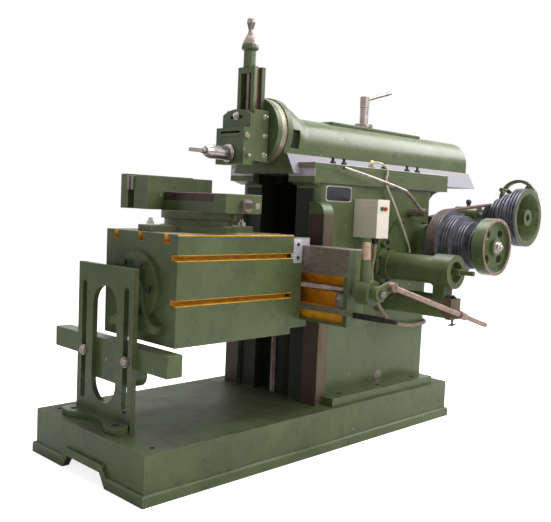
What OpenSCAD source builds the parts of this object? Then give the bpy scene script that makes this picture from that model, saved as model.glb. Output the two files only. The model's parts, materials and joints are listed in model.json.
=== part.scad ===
/* [Base] */
// Length of the base casting
base_l = 1860; // [1800:10:2000]
// Width of the base over its bottom bead
base_w = 753; // [720:1:800]
// Height of the base
base_h = 175; // [150:1:200]
// Side step of the bottom bead
bead_t = 12; // [6:1:20]
// Height of the bottom bead
bead_h = 42; // [30:1:60]
// Wall of the base casting
base_wall = 30; // [20:1:45]
// Thickness of the deck
deck_t = 30; // [20:1:45]
// Width of the arch under each end
arch_w = 290; // [250:1:320]
// Height of the arch under each end
arch_h = 50; // [30:1:80]
// Distance of the anchor holes from the base ends
anchor_end = 80; // [70:1:105]
// Anchor hole spacing across the base
anchor_w = 620; // [560:1:630]
// Radius of an anchor hole
anchor_r = 11; // [8:0.5:14]

/* [Column] */
// Front wall of the column, from the middle of the base
col_x = 30; // [20:1:40]
// Length of the column
col_l = 853; // [840:1:880]
// Width of the column
col_w = 490; // [470:1:510]
// Height of the column above the base
col_h = 950; // [930:1:980]
// Wall of the column
col_wall = 28; // [20:1:34]
// Width over the vertical ways
way_w = 580; // [560:1:620]
// Thickness of the vertical way flange
way_t = 63; // [50:1:70]
// How far the vertical ways end below the top of the column
way_drop = 80; // [50:1:110]
// How far the vertical ways stand proud of the column front
way_proud = 20; // [12:1:26]
// Width of the channel between the vertical ways
channel_w = 220; // [200:1:240]
// Depth of the channel between the vertical ways
channel_d = 85; // [80:1:95]
// Width of the ram guide on top of the column
guide_w = 524; // [510:1:560]
// Overhang of the ram guide past the column front
guide_front = 56; // [40:1:60]
// Overhang of the ram guide past the column rear
guide_rear = 108; // [80:1:130]

/* [Ram] */
// Length of the ram
ram_l = 1465; // [1440:1:1500]
// Front face of the ram at the rear end of its stroke
ram_x = -75; // [-80:1:-70]
// Half width of the ram ways at the bottom
way_half = 187; // [180:1:195]
// Height of the ram ways
ram_way_h = 85; // [75:1:95]
// Radius of the rounded ram body
ram_r = 125; // [110:1:132]
// Height of the ram body axis above its bottom
ram_axis = 130; // [125:1:140]
// Longest working stroke
stroke = 610; // [560:1:620]

/* [Tool head] */
// Radius of the swivel disc
swivel_r = 140; // [130:1:150]
// Thickness of the swivel disc
swivel_t = 55; // [45:1:65]
// Height of the swivel axis above the ram bottom
swivel_rise = 177; // [170:1:185]
// Width of the tool slide
slide_w = 172; // [160:1:180]
// Height of the tool slide
slide_h = 212; // [200:1:230]
// Width of the slide guide
guide_tower_w = 100; // [90:1:106]
// Height of the slide guide
tower_h = 400; // [380:1:420]
// Width of the clapper block
clapper_w = 120; // [100:1:126]
// Depth of the clapper cheeks
clapper_t = 33; // [30:1:38]

/* [Cross rail and table] */
// Height of the rail bottom above the floor
rail_z = 555; // [520:1:580]
// Height of the rail
rail_h = 306; // [290:1:320]
// Depth of the rail
rail_t = 100; // [92:1:110]
// Length of the rail
rail_l = 1038; // [1000:1:1100]
// Thickness of the saddle
saddle_t = 65; // [55:1:75]
// Length of the table along the stroke
table_l = 589; // [570:1:620]
// Width of the table
table_w = 449; // [430:1:470]
// Height of the table
table_h = 404; // [390:1:410]
// Middle of the table across the machine
table_y = -56; // [-70:1:-40]
// Height of the table top above the rail
table_rise = 44; // [40:1:60]
// Mouth width of a T-slot
slot_w = 18; // [17:1:26]
// Width of a T-slot at its foot
slot_foot_w = 32; // [30:1:44]
// Depth of a T-slot mouth
slot_mouth_d = 20; // [12:1:24]
// Height of a T-slot foot
slot_foot_h = 14; // [13:1:16]

/* [Table support] */
// Width of the support plate
plate_w = 372; // [350:1:420]
// Height of the support plate above the base
plate_h = 597; // [570:1:620]
// Thickness of the support plate
plate_t = 21; // [16:1:34]
// Middle of the support plate across the machine
plate_y = 60; // [40:1:80]
// Width of the arch in the support plate
plate_arch_w = 162; // [130:1:170]
// Length of the support bar
bar_l = 761; // [720:1:860]
// Height of the support bar
bar_h = 82; // [70:1:100]
// Thickness of the support bar
bar_t = 70; // [60:1:76]

/* [Vise] */
// Length of the vise jaws
jaw_l = 330; // [310:1:360]
// Thickness of the moving jaw
jaw_t = 86; // [76:1:96]
// Thickness of a jaw plate
jaw_plate_t = 16; // [12:1:20]
// Gap between the jaw plates
jaw_gap = 10; // [6:0.5:12]
// Width of the vise bed
bed_w = 180; // [160:1:200]
// Length of the vise bed
bed_l = 546; // [520:1:600]
// Radius of the vise base
vise_r = 150; // [140:1:160]

/* [Drive] */
// Radius of the largest cone pulley step
cone_r = 164; // [155:1:166]
// Drop in radius from one pulley step to the next
cone_step = 27; // [24:1:30]
// Width of one pulley step
cone_step_w = 55; // [50:1:58]
// Radius of the largest step of the upper cone pulley
upper_cone_r = 145; // [138:1:147]
// Distance between the two pulley shafts
belt_centres = 431; // [425:1:445]
// Radius of the drive handwheel
wheel_r = 131; // [120:1:140]
// Width of the handwheel rim
wheel_w = 60; // [45:1:65]
// Gear module, tooth size
gear_m = 8; // [8:1:8]
// Teeth on the bull gear
bull_teeth = 84; // [84:1:84]
// Teeth on the pinion
pinion_teeth = 13; // [13:1:13]
// Face width of the gears
gear_w = 60; // [50:1:60]
// Outer radius of the stroke shaft housing
housing_r = 62; // [54:1:66]
// Length of the stroke shaft housing
housing_l = 390; // [370:1:400]
// Corners of a squared shaft end, as a share of the shaft radius
square_share = 0.94; // [0.8:0.01:0.97]

/* [Hidden] */
$fn = 48;

// overrun of every cut, running fit of shafts and clearance of sliding faces
over = 2;
fit = 0.05;
slip = 0.3;

// paint and metal colours
paint = "#5f6e55";
steel = "#b9b2ad";
dark = "#2b2b2f";

// levels
col_top = base_h + col_h;
way_h = col_h - way_drop;
floor_t = 33;
ram_z = col_top + floor_t;
land_h = 25;
land_z = ram_z + land_h;
keeper_h = 25;
keeper_z = land_z + keeper_h;
way_lean_share = 0.53;
swivel_z = ram_z + swivel_rise;
rail_top = rail_z + rail_h;
table_z1 = rail_top + table_rise;
table_z0 = table_z1 - table_h;

// places along the stroke
col_x1 = col_x + col_l;
way_x = col_x - way_proud;
channel_x = way_x + channel_d;
cavity_x = channel_x + col_wall;
cavity_x1 = col_x1 - col_wall;
cavity_half = col_w / 2 - col_wall;
rail_x = way_x - rail_t;
saddle_x = rail_x - saddle_t;
table_x = saddle_x - table_l;
ram_x1 = ram_x + ram_l;

// half width of the ram ways at a height above the ram bottom
function way_at(h) = way_half - way_lean_share * h;

module box(x0, x1, y0, y1, z0, z1) {
  translate([x0, y0, z0]) cube([x1 - x0, y1 - y0, z1 - z0]);
}

module rod_x(x0, x1, y, z, r) {
  translate([x0, y, z]) rotate([0, 90, 0]) cylinder(h = x1 - x0, r = r);
}

module rod_y(y0, y1, x, z, r) {
  translate([x, y1, z]) rotate([90, 0, 0]) cylinder(h = y1 - y0, r = r);
}

module rod_z(z0, z1, x, y, r) {
  translate([x, y, z0]) cylinder(h = z1 - z0, r = r);
}

// outline in Y and Z drawn along X
module along_x(x0, x1) {
  translate([x0, 0, 0]) rotate([90, 0, 90]) linear_extrude(x1 - x0) children();
}

// outline in X and Z drawn along Y
module along_y(y0, y1) {
  translate([0, y1, 0]) rotate([90, 0, 0]) linear_extrude(y1 - y0) children();
}

module both_sides() {
  children();
  mirror([0, 1, 0]) children();
}

// tube swept along hand chosen points, smoothed between them
sweep_sides = 10;
sweep_steps = 5;
function spline(p, t) = let(n = len(p) - 1, s = min(t * n, n - 1e-6), i = floor(s), u = s - i,
  a = p[max(i - 1, 0)], b = p[i], c = p[i + 1], d = p[min(i + 2, n)])
  0.5 * ((2 * b) + (c - a) * u + (2 * a - 5 * b + 4 * c - d) * u * u
  + (3 * b - a - 3 * c + d) * u * u * u);
function unit(v) = v / norm(v);
function sweep_rings(p) = sweep_steps * (len(p) - 1);
function sweep_path(p) = [for (k = [0 : sweep_rings(p)]) spline(p, k / sweep_rings(p))];
function tangent(q, k) = unit(q[min(k + 1, len(q) - 1)] - q[max(k - 1, 0)]);

module sweep(points, r, up = [0, 1, 0]) {
  q = sweep_path(points);
  n = len(q);
  ring = [for (k = [0 : n - 1]) let(t = tangent(q, k), u = unit(cross(t, up)), v = cross(t, u))
    for (s = [0 : sweep_sides - 1]) let(a = 360 * s / sweep_sides) q[k] + r * (cos(a) * u + sin(a) * v)];
  side = [for (k = [0 : n - 2]) for (s = [0 : sweep_sides - 1])
    let(a = k * sweep_sides + s, b = k * sweep_sides + (s + 1) % sweep_sides)
    [[a, b + sweep_sides, b], [a, a + sweep_sides, b + sweep_sides]]];
  caps = [[for (s = [0 : sweep_sides - 1]) s],
    [for (s = [sweep_sides - 1 : -1 : 0]) (n - 1) * sweep_sides + s]];
  polyhedron(ring, concat([for (f = side) f[0]], [for (f = side) f[1]], caps), convexity = 6);
}

// base casting with hollow underside, solid corner pads and an arch under each end
pad_w = 110;
arch_lean = 35;
arch_band = 30;
rib_t = 40;
anchor_l = base_l - 2 * anchor_end;
module base_outline(w) {
  translate([bead_t - w / 2, 0]) square([w - 2 * bead_t, base_h]);
  translate([-w / 2, 0]) square([w, bead_h - bead_t]);
  for (i = [-1, 1]) translate([i * (w / 2 - bead_t), bead_h - bead_t]) circle(r = bead_t);
}

module arch_outline(c, low) {
  polygon([[-arch_w / 2 - c, -low], [arch_w / 2 + c, -low], [arch_w / 2 + c, 0],
    [arch_w / 2 - arch_lean + c / 2, arch_h + c], [arch_lean - arch_w / 2 - c / 2, arch_h + c],
      [-arch_w / 2 - c, 0]]);
}

module base() {
  color(paint) difference() {
    union() {
      difference() {
        union() {
          intersection() {
            along_x(-base_l / 2, base_l / 2) base_outline(base_w);
            along_y(-base_w / 2, base_w / 2) base_outline(base_l);
          }
          for (i = [0, 1]) mirror([i, 0, 0])
            along_x(-base_l / 2, base_wall - base_l / 2) arch_outline(arch_band, 0);
        }
        box(base_wall - base_l / 2, base_l / 2 - base_wall, base_wall - base_w / 2,
          base_w / 2 - base_wall, -over, base_h - deck_t);
      }
      for (i = [-1, 1], j = [-1, 1])
        translate([i * anchor_l / 2, j * anchor_w / 2, 0])
          box(-pad_w / 2, pad_w / 2, -pad_w / 2, pad_w / 2, 0, base_h - deck_t / 2);
      box(-rib_t / 2, rib_t / 2, base_wall / 2 - base_w / 2, base_w / 2 - base_wall / 2, 0,
        base_h - deck_t / 2);
    }
    for (i = [-1, 1], j = [-1, 1])
      rod_z(-over, base_h + over, i * anchor_l / 2, j * anchor_w / 2, anchor_r);
    for (i = [0, 1]) mirror([i, 0, 0]) along_x(-base_l / 2 - over, base_wall * 2 - base_l / 2)
      arch_outline(0, over);
  }
}

// column: hollow box with vertical ways, a ram guide on top and a foot flange
window_rise = 465;
window_z = base_h + window_rise;
way_round = 55;
way_face_w = 85;
corbel = 15;
bulge = 125;
foot_w = 100;
foot_h = 36;
foot_in = 30;
foot_out = 68;
foot_x0 = col_x + foot_in;
foot_x1 = col_x1 - foot_out;
bull_in = 475;
bull_x = col_x + bull_in;
pivot_x = bull_x;
cheek_half = 36;
rocker_slot_end = 34;
rocker_slot_x0 = pivot_x - stroke / 2 - cheek_half - rocker_slot_end;
rocker_slot_x1 = pivot_x + stroke / 2 + cheek_half + rocker_slot_end;
arm_half = 40;
arm_y0 = -arm_half;
arm_y1 = arm_half;
cheek_t = 29;
cheek_gap = 5;
slot_side = 6;
rocker_slot_y0 = arm_y0 - cheek_gap - cheek_t - slot_side;
rocker_slot_y1 = arm_y1 + cheek_gap + cheek_t + slot_side;
bull_rise = 434;
bull_z = base_h + bull_rise;
mesh_angle = 42.7;
mesh_play = 1;
gear_centres = gear_m * (bull_teeth + pinion_teeth) / 2 + mesh_play;
input_x = bull_x + gear_centres * cos(mesh_angle);
input_z = bull_z + gear_centres * sin(mesh_angle);
bull_shaft_r = 30;
input_shaft_r = 25;
stroke_rise = 590;
stroke_z = base_h + stroke_rise;
stroke_shaft_r = 14;
col_round = 36;

module rounded(x0, x1, y0, y1, r) {
  translate([x0 + r, y0]) square([x1 - x0 - 2 * r, y1 - y0]);
  translate([x0, y0 + r]) square([x1 - x0, y1 - y0 - 2 * r]);
  for (x = [x0 + r, x1 - r], y = [y0 + r, y1 - r]) translate([x, y]) circle(r = r);
}

module way_outline() {
  h = base_h + way_h;
  translate([-way_w / 2, base_h]) square([way_w, way_h - way_round]);
  translate([way_round - way_w / 2, base_h]) square([way_w - 2 * way_round, way_h]);
  for (i = [-1, 1]) translate([i * (way_w / 2 - way_round), h - way_round]) circle(r = way_round);
}

module column() {
  color(paint) difference() {
    union() {
      translate([0, 0, base_h]) linear_extrude(col_h) rounded(col_x, col_x1, -col_w / 2, col_w / 2,
        col_round);
      along_x(way_x, way_x + way_t) way_outline();
      box(col_x - guide_front, col_x1 + guide_rear, -guide_w / 2, guide_w / 2, col_top, land_z);
      along_y(-col_w / 2, col_w / 2)
        polygon([[col_x, col_top - corbel], [col_x, col_top], [col_x - guide_front, col_top]]);
      difference() {
        box(col_x1 - col_round, col_x1 + guide_rear, col_round - col_w / 2, col_w / 2 - col_round,
          col_top - bulge, col_top);
        rod_y(-col_w / 2, col_w / 2, col_x1 + bulge, col_top - bulge, bulge);
      }
      both_sides() box(foot_x0, foot_x1, col_w / 2 - over, col_w / 2 + foot_w, base_h, base_h + foot_h);
    }
    box(cavity_x, cavity_x1, -cavity_half, cavity_half, base_h - over, col_top);
    box(way_x - over, col_x, way_face_w - way_w / 2, way_w / 2 - way_face_w, base_h - over,
      base_h + way_h + over);
    box(way_x - over, channel_x, -channel_w / 2, channel_w / 2, base_h - over, col_top);
    box(col_x - guide_front - over, rocker_slot_x0 + over, -channel_w / 2, channel_w / 2,
      col_top - corbel - over, ram_z + over);
    box(channel_x - over, cavity_x + over, -channel_w / 2, channel_w / 2, window_z, col_top);
    box(rocker_slot_x0, rocker_slot_x1, rocker_slot_y0, rocker_slot_y1, col_top - over, ram_z + over);
    along_x(col_x - guide_front - over, col_x1 + guide_rear + over)
      polygon([[-way_at(0) - slip, ram_z], [way_at(0) + slip, ram_z],
        [way_at(land_h + over) + slip, land_z + over], [-way_at(land_h + over) - slip, land_z + over]]);
    rod_y(-col_w / 2 - over, over - cavity_half, bull_x, bull_z, bull_shaft_r + fit);
    rod_y(-col_w / 2 - over, over - cavity_half, input_x, input_z, input_shaft_r + fit);
    rod_y(-col_w / 2 - over, over - cavity_half, bull_x, stroke_z, stroke_shaft_r + fit);
    rod_y(-col_w / 2 - over, col_w / 2 + over, pivot_x, pivot_z, pivot_r + fit);
    for (x = foot_bolt_xs, j = [-1, 1]) screw_hole(x, j * foot_bolt_y, base_h + foot_h, foot_h);
  }
}

// gib caps that hold the ram ways down
module keeper() {
  along_x(col_x - guide_front, col_x1 + guide_rear)
    polygon([[way_at(land_h) + slip, land_z], [guide_w / 2, land_z], [guide_w / 2, keeper_z],
      [way_at(land_h + keeper_h) + slip, keeper_z]]);
}

module keeper_near() {
  color(paint) mirror([0, 1, 0]) keeper();
}

module keeper_far() {
  color(paint) keeper();
}

// gear cover bolted to the side of the column, with slanting edges and a round bearing boss
cover_t = 17;
cover_in = 21;
cover_down = 140;
cover_len = 392;
cover_high = 225;
cover_x1 = col_x1 - cover_in;
cover_x0 = cover_x1 - cover_len;
cover_z1 = col_top - cover_down;
cover_z0 = cover_z1 - cover_high;
cover_drop = 120;
cover_boss_r = 88;
cover_boss_t = 55;
module side_cover() {
  color(paint) difference() {
    union() {
      along_y(-col_w / 2 - cover_t, -col_w / 2)
        polygon([[cover_x0 + cover_drop, cover_z0], [cover_x1, cover_z0], [cover_x1,
          cover_z1 - cover_drop / 2],
          [cover_x1 - cover_drop / 2, cover_z1], [cover_x0 + cover_drop, cover_z1], [cover_x0,
            cover_z1 - cover_drop]]);
      rod_y(-col_w / 2 - cover_boss_t, -col_w / 2, input_x, input_z, cover_boss_r);
    }
    rod_y(-col_w / 2 - cover_boss_t - over, over - col_w / 2, input_x, input_z, input_shaft_r + fit);
    rod_y(-col_w / 2 - cover_t - over, over - col_w / 2, bull_x, stroke_z, housing_flange_r + slip);
  }
}

// housing of the stroke adjusting shaft, with a skirt down to the feed bearing
housing_flange_r = 84;
housing_flange_t = 22;
housing_collar_r = 70;
housing_collar_l = 60;
housing_end_r = 74;
housing_end_l = 95;
housing_recess_r = 46;
housing_recess_d = 34;
skirt_half = 34;
skirt_l = 58;
skirt_in = 35;
housing_y1 = -col_w / 2 - housing_l;
module stroke_housing() {
  y = max(feed_y1, housing_y1 + skirt_in);
  color(paint) difference() {
    union() {
      rod_y(-col_w / 2 - housing_flange_t, -col_w / 2, bull_x, stroke_z, housing_flange_r);
      rod_y(-col_w / 2 - housing_collar_l, -col_w / 2, bull_x, stroke_z, housing_collar_r);
      rod_y(housing_y1, -col_w / 2, bull_x, stroke_z, housing_r);
      rod_y(housing_y1, housing_y1 + housing_end_l, bull_x, stroke_z, housing_end_r);
      box(bull_x - skirt_half, bull_x + skirt_half, y, y + skirt_l, bull_z, stroke_z);
    }
    rod_y(housing_y1 - over, over - col_w / 2, bull_x, stroke_z, stroke_shaft_r + fit);
    rod_y(housing_y1 - over, housing_y1 + housing_recess_d, bull_x, stroke_z, housing_recess_r);
    rod_y(y - over, y + skirt_l + over, bull_x, bull_z, feed_tube_r + slip);
  }
}

// bearing tube of the bull gear shaft
feed_tube_r = 52;
feed_reach = 67.15;
feed_flange_r = 68;
feed_flange_t = 20;
module feed_bearing() {
  color(paint) difference() {
    union() {
      rod_y(feed_y1, -col_w / 2, bull_x, bull_z, feed_tube_r);
      rod_y(-col_w / 2 - feed_flange_t, -col_w / 2, bull_x, bull_z, feed_flange_r);
    }
    rod_y(feed_y1 - over, over - col_w / 2, bull_x, bull_z, bull_shaft_r + fit);
  }
}

// push button switch: back shell on the column, cover with two button holes
switch_in = 234;
switch_down = 60;
switch_w = 85;
switch_h = 169;
switch_x0 = col_x + switch_in;
switch_z0 = col_top - switch_down - switch_h;
switch_back_d = 55;
switch_cover_d = 75;
switch_wall = 4;
button_r = 9;
button_dx = 26;
button_drop = 40;
switch_y1 = -col_w / 2 - switch_back_d;
switch_y0 = switch_y1 - switch_cover_d;
switch_xm = switch_x0 + switch_w / 2;
button_z = switch_z0 + switch_h - button_drop;
module switch_box() {
  color("#c9c2b4") difference() {
    box(switch_x0, switch_x0 + switch_w, switch_y1, -col_w / 2, switch_z0, switch_z0 + switch_h);
    box(switch_x0 + switch_wall, switch_x0 + switch_w - switch_wall, switch_y1 - over,
      -col_w / 2 - switch_wall,
      switch_z0 + switch_wall, switch_z0 + switch_h - switch_wall);
  }
}

module switch_cover() {
  color("#d2cbbd") difference() {
    box(switch_x0, switch_x0 + switch_w, switch_y0, switch_y1, switch_z0, switch_z0 + switch_h);
    box(switch_x0 + switch_wall, switch_x0 + switch_w - switch_wall, switch_y0 + switch_wall,
      switch_y1 + over,
      switch_z0 + switch_wall, switch_z0 + switch_h - switch_wall);
    for (i = [-1, 1])
      rod_y(switch_y0 - over, switch_y0 + switch_wall + over, switch_xm + i * button_dx / 2, button_z,
        button_r + slip);
  }
}

button_out = 7;
button_in = 12;
button_collar_r = 12;
button_collar_t = 3;
module button(x, tint) {
  color(tint) union() {
    rod_y(switch_y0 - button_out, switch_y0 + switch_wall + button_in, x, button_z, button_r);
    translate([0, switch_y0 + switch_wall + slip, 0])
      rod_y(0, button_collar_t, x, button_z, button_collar_r);
  }
}

module start_button() {
  button(switch_xm - button_dx / 2, "#1f6b3a");
}

module stop_button() {
  button(switch_xm + button_dx / 2, "#b3262b");
}

// oil pipe along the column side, from the guide down to the gear cover
pipe_r = 5;
pipe_in = 332;
pipe_side = 22;
pipe_run = 315;
pipe_out = 35;
pipe_fall = 386;
pipe_x0 = col_x + pipe_in;
pipe_lift = 2;
pipe_z0 = keeper_z + pipe_lift;
pipe_shares = [[0.006, 0.03, -0.046], [0.09, 0.49, -0.061], [0.216, 0.714, -0.041], [0.317, 0.771, 0.027],
  [0.298, 0.771, 0.177], [0.5, 0.886, 0.41], [0.756, 1, 0.72], [0.946, 0.886, 0.938]];
pipe_route = concat([[pipe_x0, pipe_side - guide_w / 2, pipe_z0]],
  [for (s = pipe_shares) [pipe_x0 + s[0] * pipe_run, -col_w / 2 - s[1] * pipe_out,
    pipe_z0 - s[2] * pipe_fall]],
  [[pipe_x0 + pipe_run, -col_w / 2 - cover_t - pipe_r - slip, pipe_z0 - pipe_fall]]);
module oil_pipe() {
  color(steel) sweep(pipe_route, pipe_r, [0, 1, 0.02]);
}

// conduit from the switch box, down past the feed shaft and round the rear of the column
hose_r = 9;
hose_out = 91;
hose_shares = [[0.324, 1, 0.679], [0.326, 0.868, 0.595], [0.352, 0.868, 0.511], [0.41, 0.846, 0.437],
  [0.492, 0.802, 0.374],
  [0.621, 0.648, 0.328], [0.785, 0.451, 0.306], [0.938, 0.253, 0.304], [0.994, 0.187, 0.308], [1.0108,
    -0.055, 0.315],
  [1.0108, -0.604, 0.315]];
hose_route = concat([[switch_xm, (switch_y0 + switch_y1) / 2, switch_z0 - 2 * slip]],
  [for (s = hose_shares) [col_x + s[0] * col_l, -col_w / 2 - s[1] * hose_out, base_h + s[2] * col_h]]);
module conduit_hose() {
  color("#8a7f70") sweep(hose_route, hose_r, [0.1, 1, 0.05]);
}

// table support plate with two slots, a round ended arch and a waisted foot
plate_gap = 49.3;
plate_x1 = table_x - plate_gap;
plate_x0 = plate_x1 - plate_t;
plate_z1 = base_h + plate_h;
plate_slot_w = 32;
plate_slot_dy = 284;
plate_slot_foot = 60;
plate_slot_head = 70;
plate_arch_foot = 72;
plate_arch_head = 76;
plate_slot_z0 = base_h + plate_slot_foot;
plate_slot_z1 = plate_z1 - plate_slot_head;
plate_arch_z0 = base_h + plate_arch_foot;
plate_arch_z1 = plate_z1 - plate_arch_head;
shoe_depth = 70;
shoe_h = 25;
shoe_end_r = 35;
shoe_l = 324;
shoe_bolts = 288;
shoe_waist_r = 210;
shoe_waist_w = 32;
module slot_hole(y, z0, z1, w) {
  box(plate_x0 - over, plate_x1 + over, y - w / 2, y + w / 2, z0 + w / 2, z1 - w / 2);
  for (z = [z0 + w / 2, z1 - w / 2]) rod_x(plate_x0 - over, plate_x1 + over, y, z, w / 2);
}

module support_plate() {
  color(paint) difference() {
    union() {
      box(plate_x0, plate_x1, plate_y - plate_w / 2, plate_y + plate_w / 2, base_h, plate_z1);
      difference() {
        union() {
          box(plate_x0 - shoe_depth, plate_x0, plate_y - shoe_l / 2, plate_y + shoe_l / 2, base_h,
            base_h + shoe_h);
          for (i = [-1, 1])
            rod_z(base_h, base_h + shoe_h, plate_x0 - shoe_end_r, plate_y + i * shoe_l / 2, shoe_end_r);
        }
        rod_z(base_h - over, base_h + shoe_h + over, plate_x0 - shoe_waist_w - shoe_waist_r, plate_y,
          shoe_waist_r);
      }
    }
    for (i = [-1, 1]) slot_hole(plate_y + i * plate_slot_dy / 2, plate_slot_z0, plate_slot_z1, plate_slot_w);
    slot_hole(plate_y, plate_arch_z0, plate_arch_z1, plate_arch_w);
    for (i = [-1, 1])
      screw_hole(plate_x0 - shoe_end_r, plate_y + i * shoe_bolts / 2, base_h + shoe_h, shoe_h);
  }
}

// sunk cap screws that hold the column and the support plate to the base
bolt_r = 10;
bolt_head_r = 15;
bolt_head_h = 12;
bolt_sink = 14;
socket_r = 7;
socket_d = 7;
foot_bolt_y = col_w / 2 + foot_w / 2;
foot_bolt_xs = [foot_x0 + foot_w, (foot_x0 + foot_x1) / 2, foot_x1 - foot_w];
module screw_hole(x, y, z, grip) {
  rod_z(z - grip - over, z + over, x, y, bolt_r + slip);
  rod_z(z - bolt_sink, z + over, x, y, bolt_head_r + slip);
}

module cap_screw(x, y, z, grip) {
  difference() {
    union() {
      rod_z(z - bolt_sink, z - bolt_sink + bolt_head_h, x, y, bolt_head_r);
      rod_z(z - grip, z - bolt_sink, x, y, bolt_r);
    }
    translate([x, y, z - bolt_sink + bolt_head_h - socket_d]) cylinder(h = socket_d + over, r = socket_r,
      $fn = 6);
  }
}

module frame_bolts() {
  color(steel) {
    for (x = foot_bolt_xs, j = [-1, 1]) cap_screw(x, j * foot_bolt_y, base_h + foot_h, foot_h);
    for (i = [-1, 1])
      cap_screw(plate_x0 - shoe_end_r, plate_y + i * shoe_bolts / 2, base_h + shoe_h, shoe_h);
  }
}

// bracket on the rear of the column that carries the countershaft and the belt tension wheel
belt_angle = 18.94;
counter_x = input_x + belt_centres * cos(belt_angle);
counter_z = input_z + belt_centres * sin(belt_angle);
counter_shaft_r = 17;
counter_out = 12;
bearing_in = 45;
bearing_l = 135;
bearing_y1 = bearing_in - col_w / 2;
bearing_y0 = bearing_y1 - bearing_l;
bearing_r = 45;
bracket_lap = 5;
bracket_head = 14;
bracket_w = 145;
bracket_y0 = bearing_y1 - bracket_lap;
bracket_y1 = bracket_y0 + bracket_w;
bracket_arm_t = 50;
bracket_foot_h = 170;
bracket_foot_t = 25;
bracket_arm_h = 30;
tension_w = 25;
tension_gap = 5;
tension_reach = 301.5;
tension_side = 218;
tension_rise = 93.3;
tension_arm_t = 30;
tension_arm_x = counter_x + tension_reach;
tension_x = tension_arm_x - tension_arm_t - tension_gap - tension_w;
tension_y = bearing_y1 - tension_side;
tension_z = counter_z + tension_rise;
tension_boss_r = 30;
tension_stud_r = 14;
cup_r = 9;
cup_h = 12;
module shaft_bracket() {
  color(paint) difference() {
    union() {
      box(col_x1, col_x1 + bracket_foot_t, bracket_y0, bracket_y1, counter_z - bracket_foot_h,
        counter_z - bracket_head);
      along_y(bearing_y1 - bracket_arm_t, bearing_y1)
        polygon([[col_x1 + bracket_foot_t, counter_z - bracket_foot_h], [col_x1 + bracket_foot_t,
          counter_z - bracket_head],
          [counter_x, counter_z + bracket_arm_h], [tension_arm_x, counter_z + bracket_arm_h],
          [tension_arm_x, counter_z - bracket_arm_h], [counter_x, counter_z - bracket_arm_h]]);
      box(col_x1, col_x1 + 2 * bracket_foot_t, bearing_y1 - bracket_arm_t, bracket_y0 + bracket_arm_t,
        counter_z - bracket_foot_h, counter_z - bracket_head);
      box(tension_arm_x - tension_arm_t, tension_arm_x, tension_y, bearing_y1, counter_z - bracket_arm_h,
        counter_z + bracket_arm_h);
      box(tension_arm_x - tension_arm_t, tension_arm_x, tension_y - tension_boss_r,
        tension_y + tension_boss_r,
        counter_z - bracket_arm_h, tension_z);
      rod_x(tension_arm_x - tension_arm_t, tension_arm_x, tension_y, tension_z, tension_boss_r);
      rod_y(bearing_y0, bearing_y1, counter_x, counter_z, bearing_r);
      rod_z(counter_z, counter_z + bearing_r + cup_h, counter_x, (bearing_y0 + bearing_y1) / 2, cup_r);
    }
    rod_y(bearing_y0 - over, bearing_y1 + over, counter_x, counter_z, counter_shaft_r + fit);
    rod_x(tension_arm_x - tension_arm_t - over, tension_arm_x + over, tension_y, tension_z,
      tension_stud_r + fit);
  }
}

// belt tension handwheel with two windows and a side knob
tension_r = 108;
tension_rim_t = 16;
tension_web_t = 10;
tension_hub_r = 30;
tension_spoke_half = 11;
tension_knob_pcd = 88;
tension_knob_r = 11;
tension_knob_l = 50;
tension_knob_angle = 35;
module tension_wheel() {
  color(paint) translate([tension_x, tension_y, tension_z]) rotate([0, 90, 0]) union() {
    difference() {
      cylinder(h = tension_w, r = tension_r);
      translate([0, 0, -over]) cylinder(h = tension_w + 2 * over, r = tension_r - tension_rim_t);
    }
    cylinder(h = tension_w, r = tension_hub_r);
    for (k = [0, 90]) rotate([0, 0, k + tension_knob_angle])
      box(tension_rim_t / 2 - tension_r, tension_r - tension_rim_t / 2, -tension_spoke_half,
        tension_spoke_half,
        tension_w - tension_web_t, tension_w);
    rotate([0, 0, 90 + tension_knob_angle]) translate([tension_knob_pcd, 0, -tension_knob_l])
      cylinder(h = tension_knob_l + tension_w, r = tension_knob_r);
    cylinder(h = tension_arm_x - tension_x, r = tension_stud_r);
  }
}

// cone pulleys: four steps, each with three belt grooves
groove_n = 3;
groove_d = 9;
groove_top_share = 0.72;
groove_foot_share = 0.4;
steps_n = 4;
step_side = 4;
groove_p = (cone_step_w - 2 * step_side) / groove_n;
function step_r(r0, i) = r0 - i * cone_step;
function step_points(r0, i) = let(y = i * cone_step_w, r = step_r(r0, i)) concat([[r, y]],
  [for (k = [0 : groove_n - 1]) let(m = y + step_side + (k + 0.5) * groove_p)
    each [[r, m - groove_p * groove_top_share / 2], [r - groove_d, m - groove_p * groove_foot_share / 2],
      [r - groove_d, m + groove_p * groove_foot_share / 2], [r, m + groove_p * groove_top_share / 2]]],
  [[r, y + cone_step_w]]);
cone_l = steps_n * cone_step_w;
cone_wall = 24;
cone_web = 24;
mouth_steps = 2;
module cone(r0, bore_r) {
  difference() {
    rotate_extrude() polygon(concat([[bore_r, 0]], [for (i = [0 : steps_n - 1]) each step_points(r0, i)],
      [[bore_r, cone_l]]));
    translate([0, 0, -over]) difference() {
      cylinder(h = over + cone_step_w * mouth_steps, r1 = step_r(r0, 0) - cone_wall,
        r2 = step_r(r0, mouth_steps) - cone_wall);
      cylinder(h = over + cone_step_w * mouth_steps, r = bore_r + cone_web);
    }
  }
}

// lower cone pulley on the input shaft, large step next to the column
cone_gap = 140;
wheel_gap = 3;
block_room = 30;
lower_cone_y = -col_w / 2 - cone_gap;
input_end_y = lower_cone_y - cone_l - wheel_gap - wheel_w;
pinion_y0 = arm_y0 - block_room - gear_w;
module drive_cone() {
  color(dark) union() {
    translate([input_x, lower_cone_y, input_z]) rotate([90, 0, 0]) cone(cone_r, input_shaft_r);
    rod_y(input_end_y, pinion_y0 + gear_w, input_x, input_z, input_shaft_r);
  }
}

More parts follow.
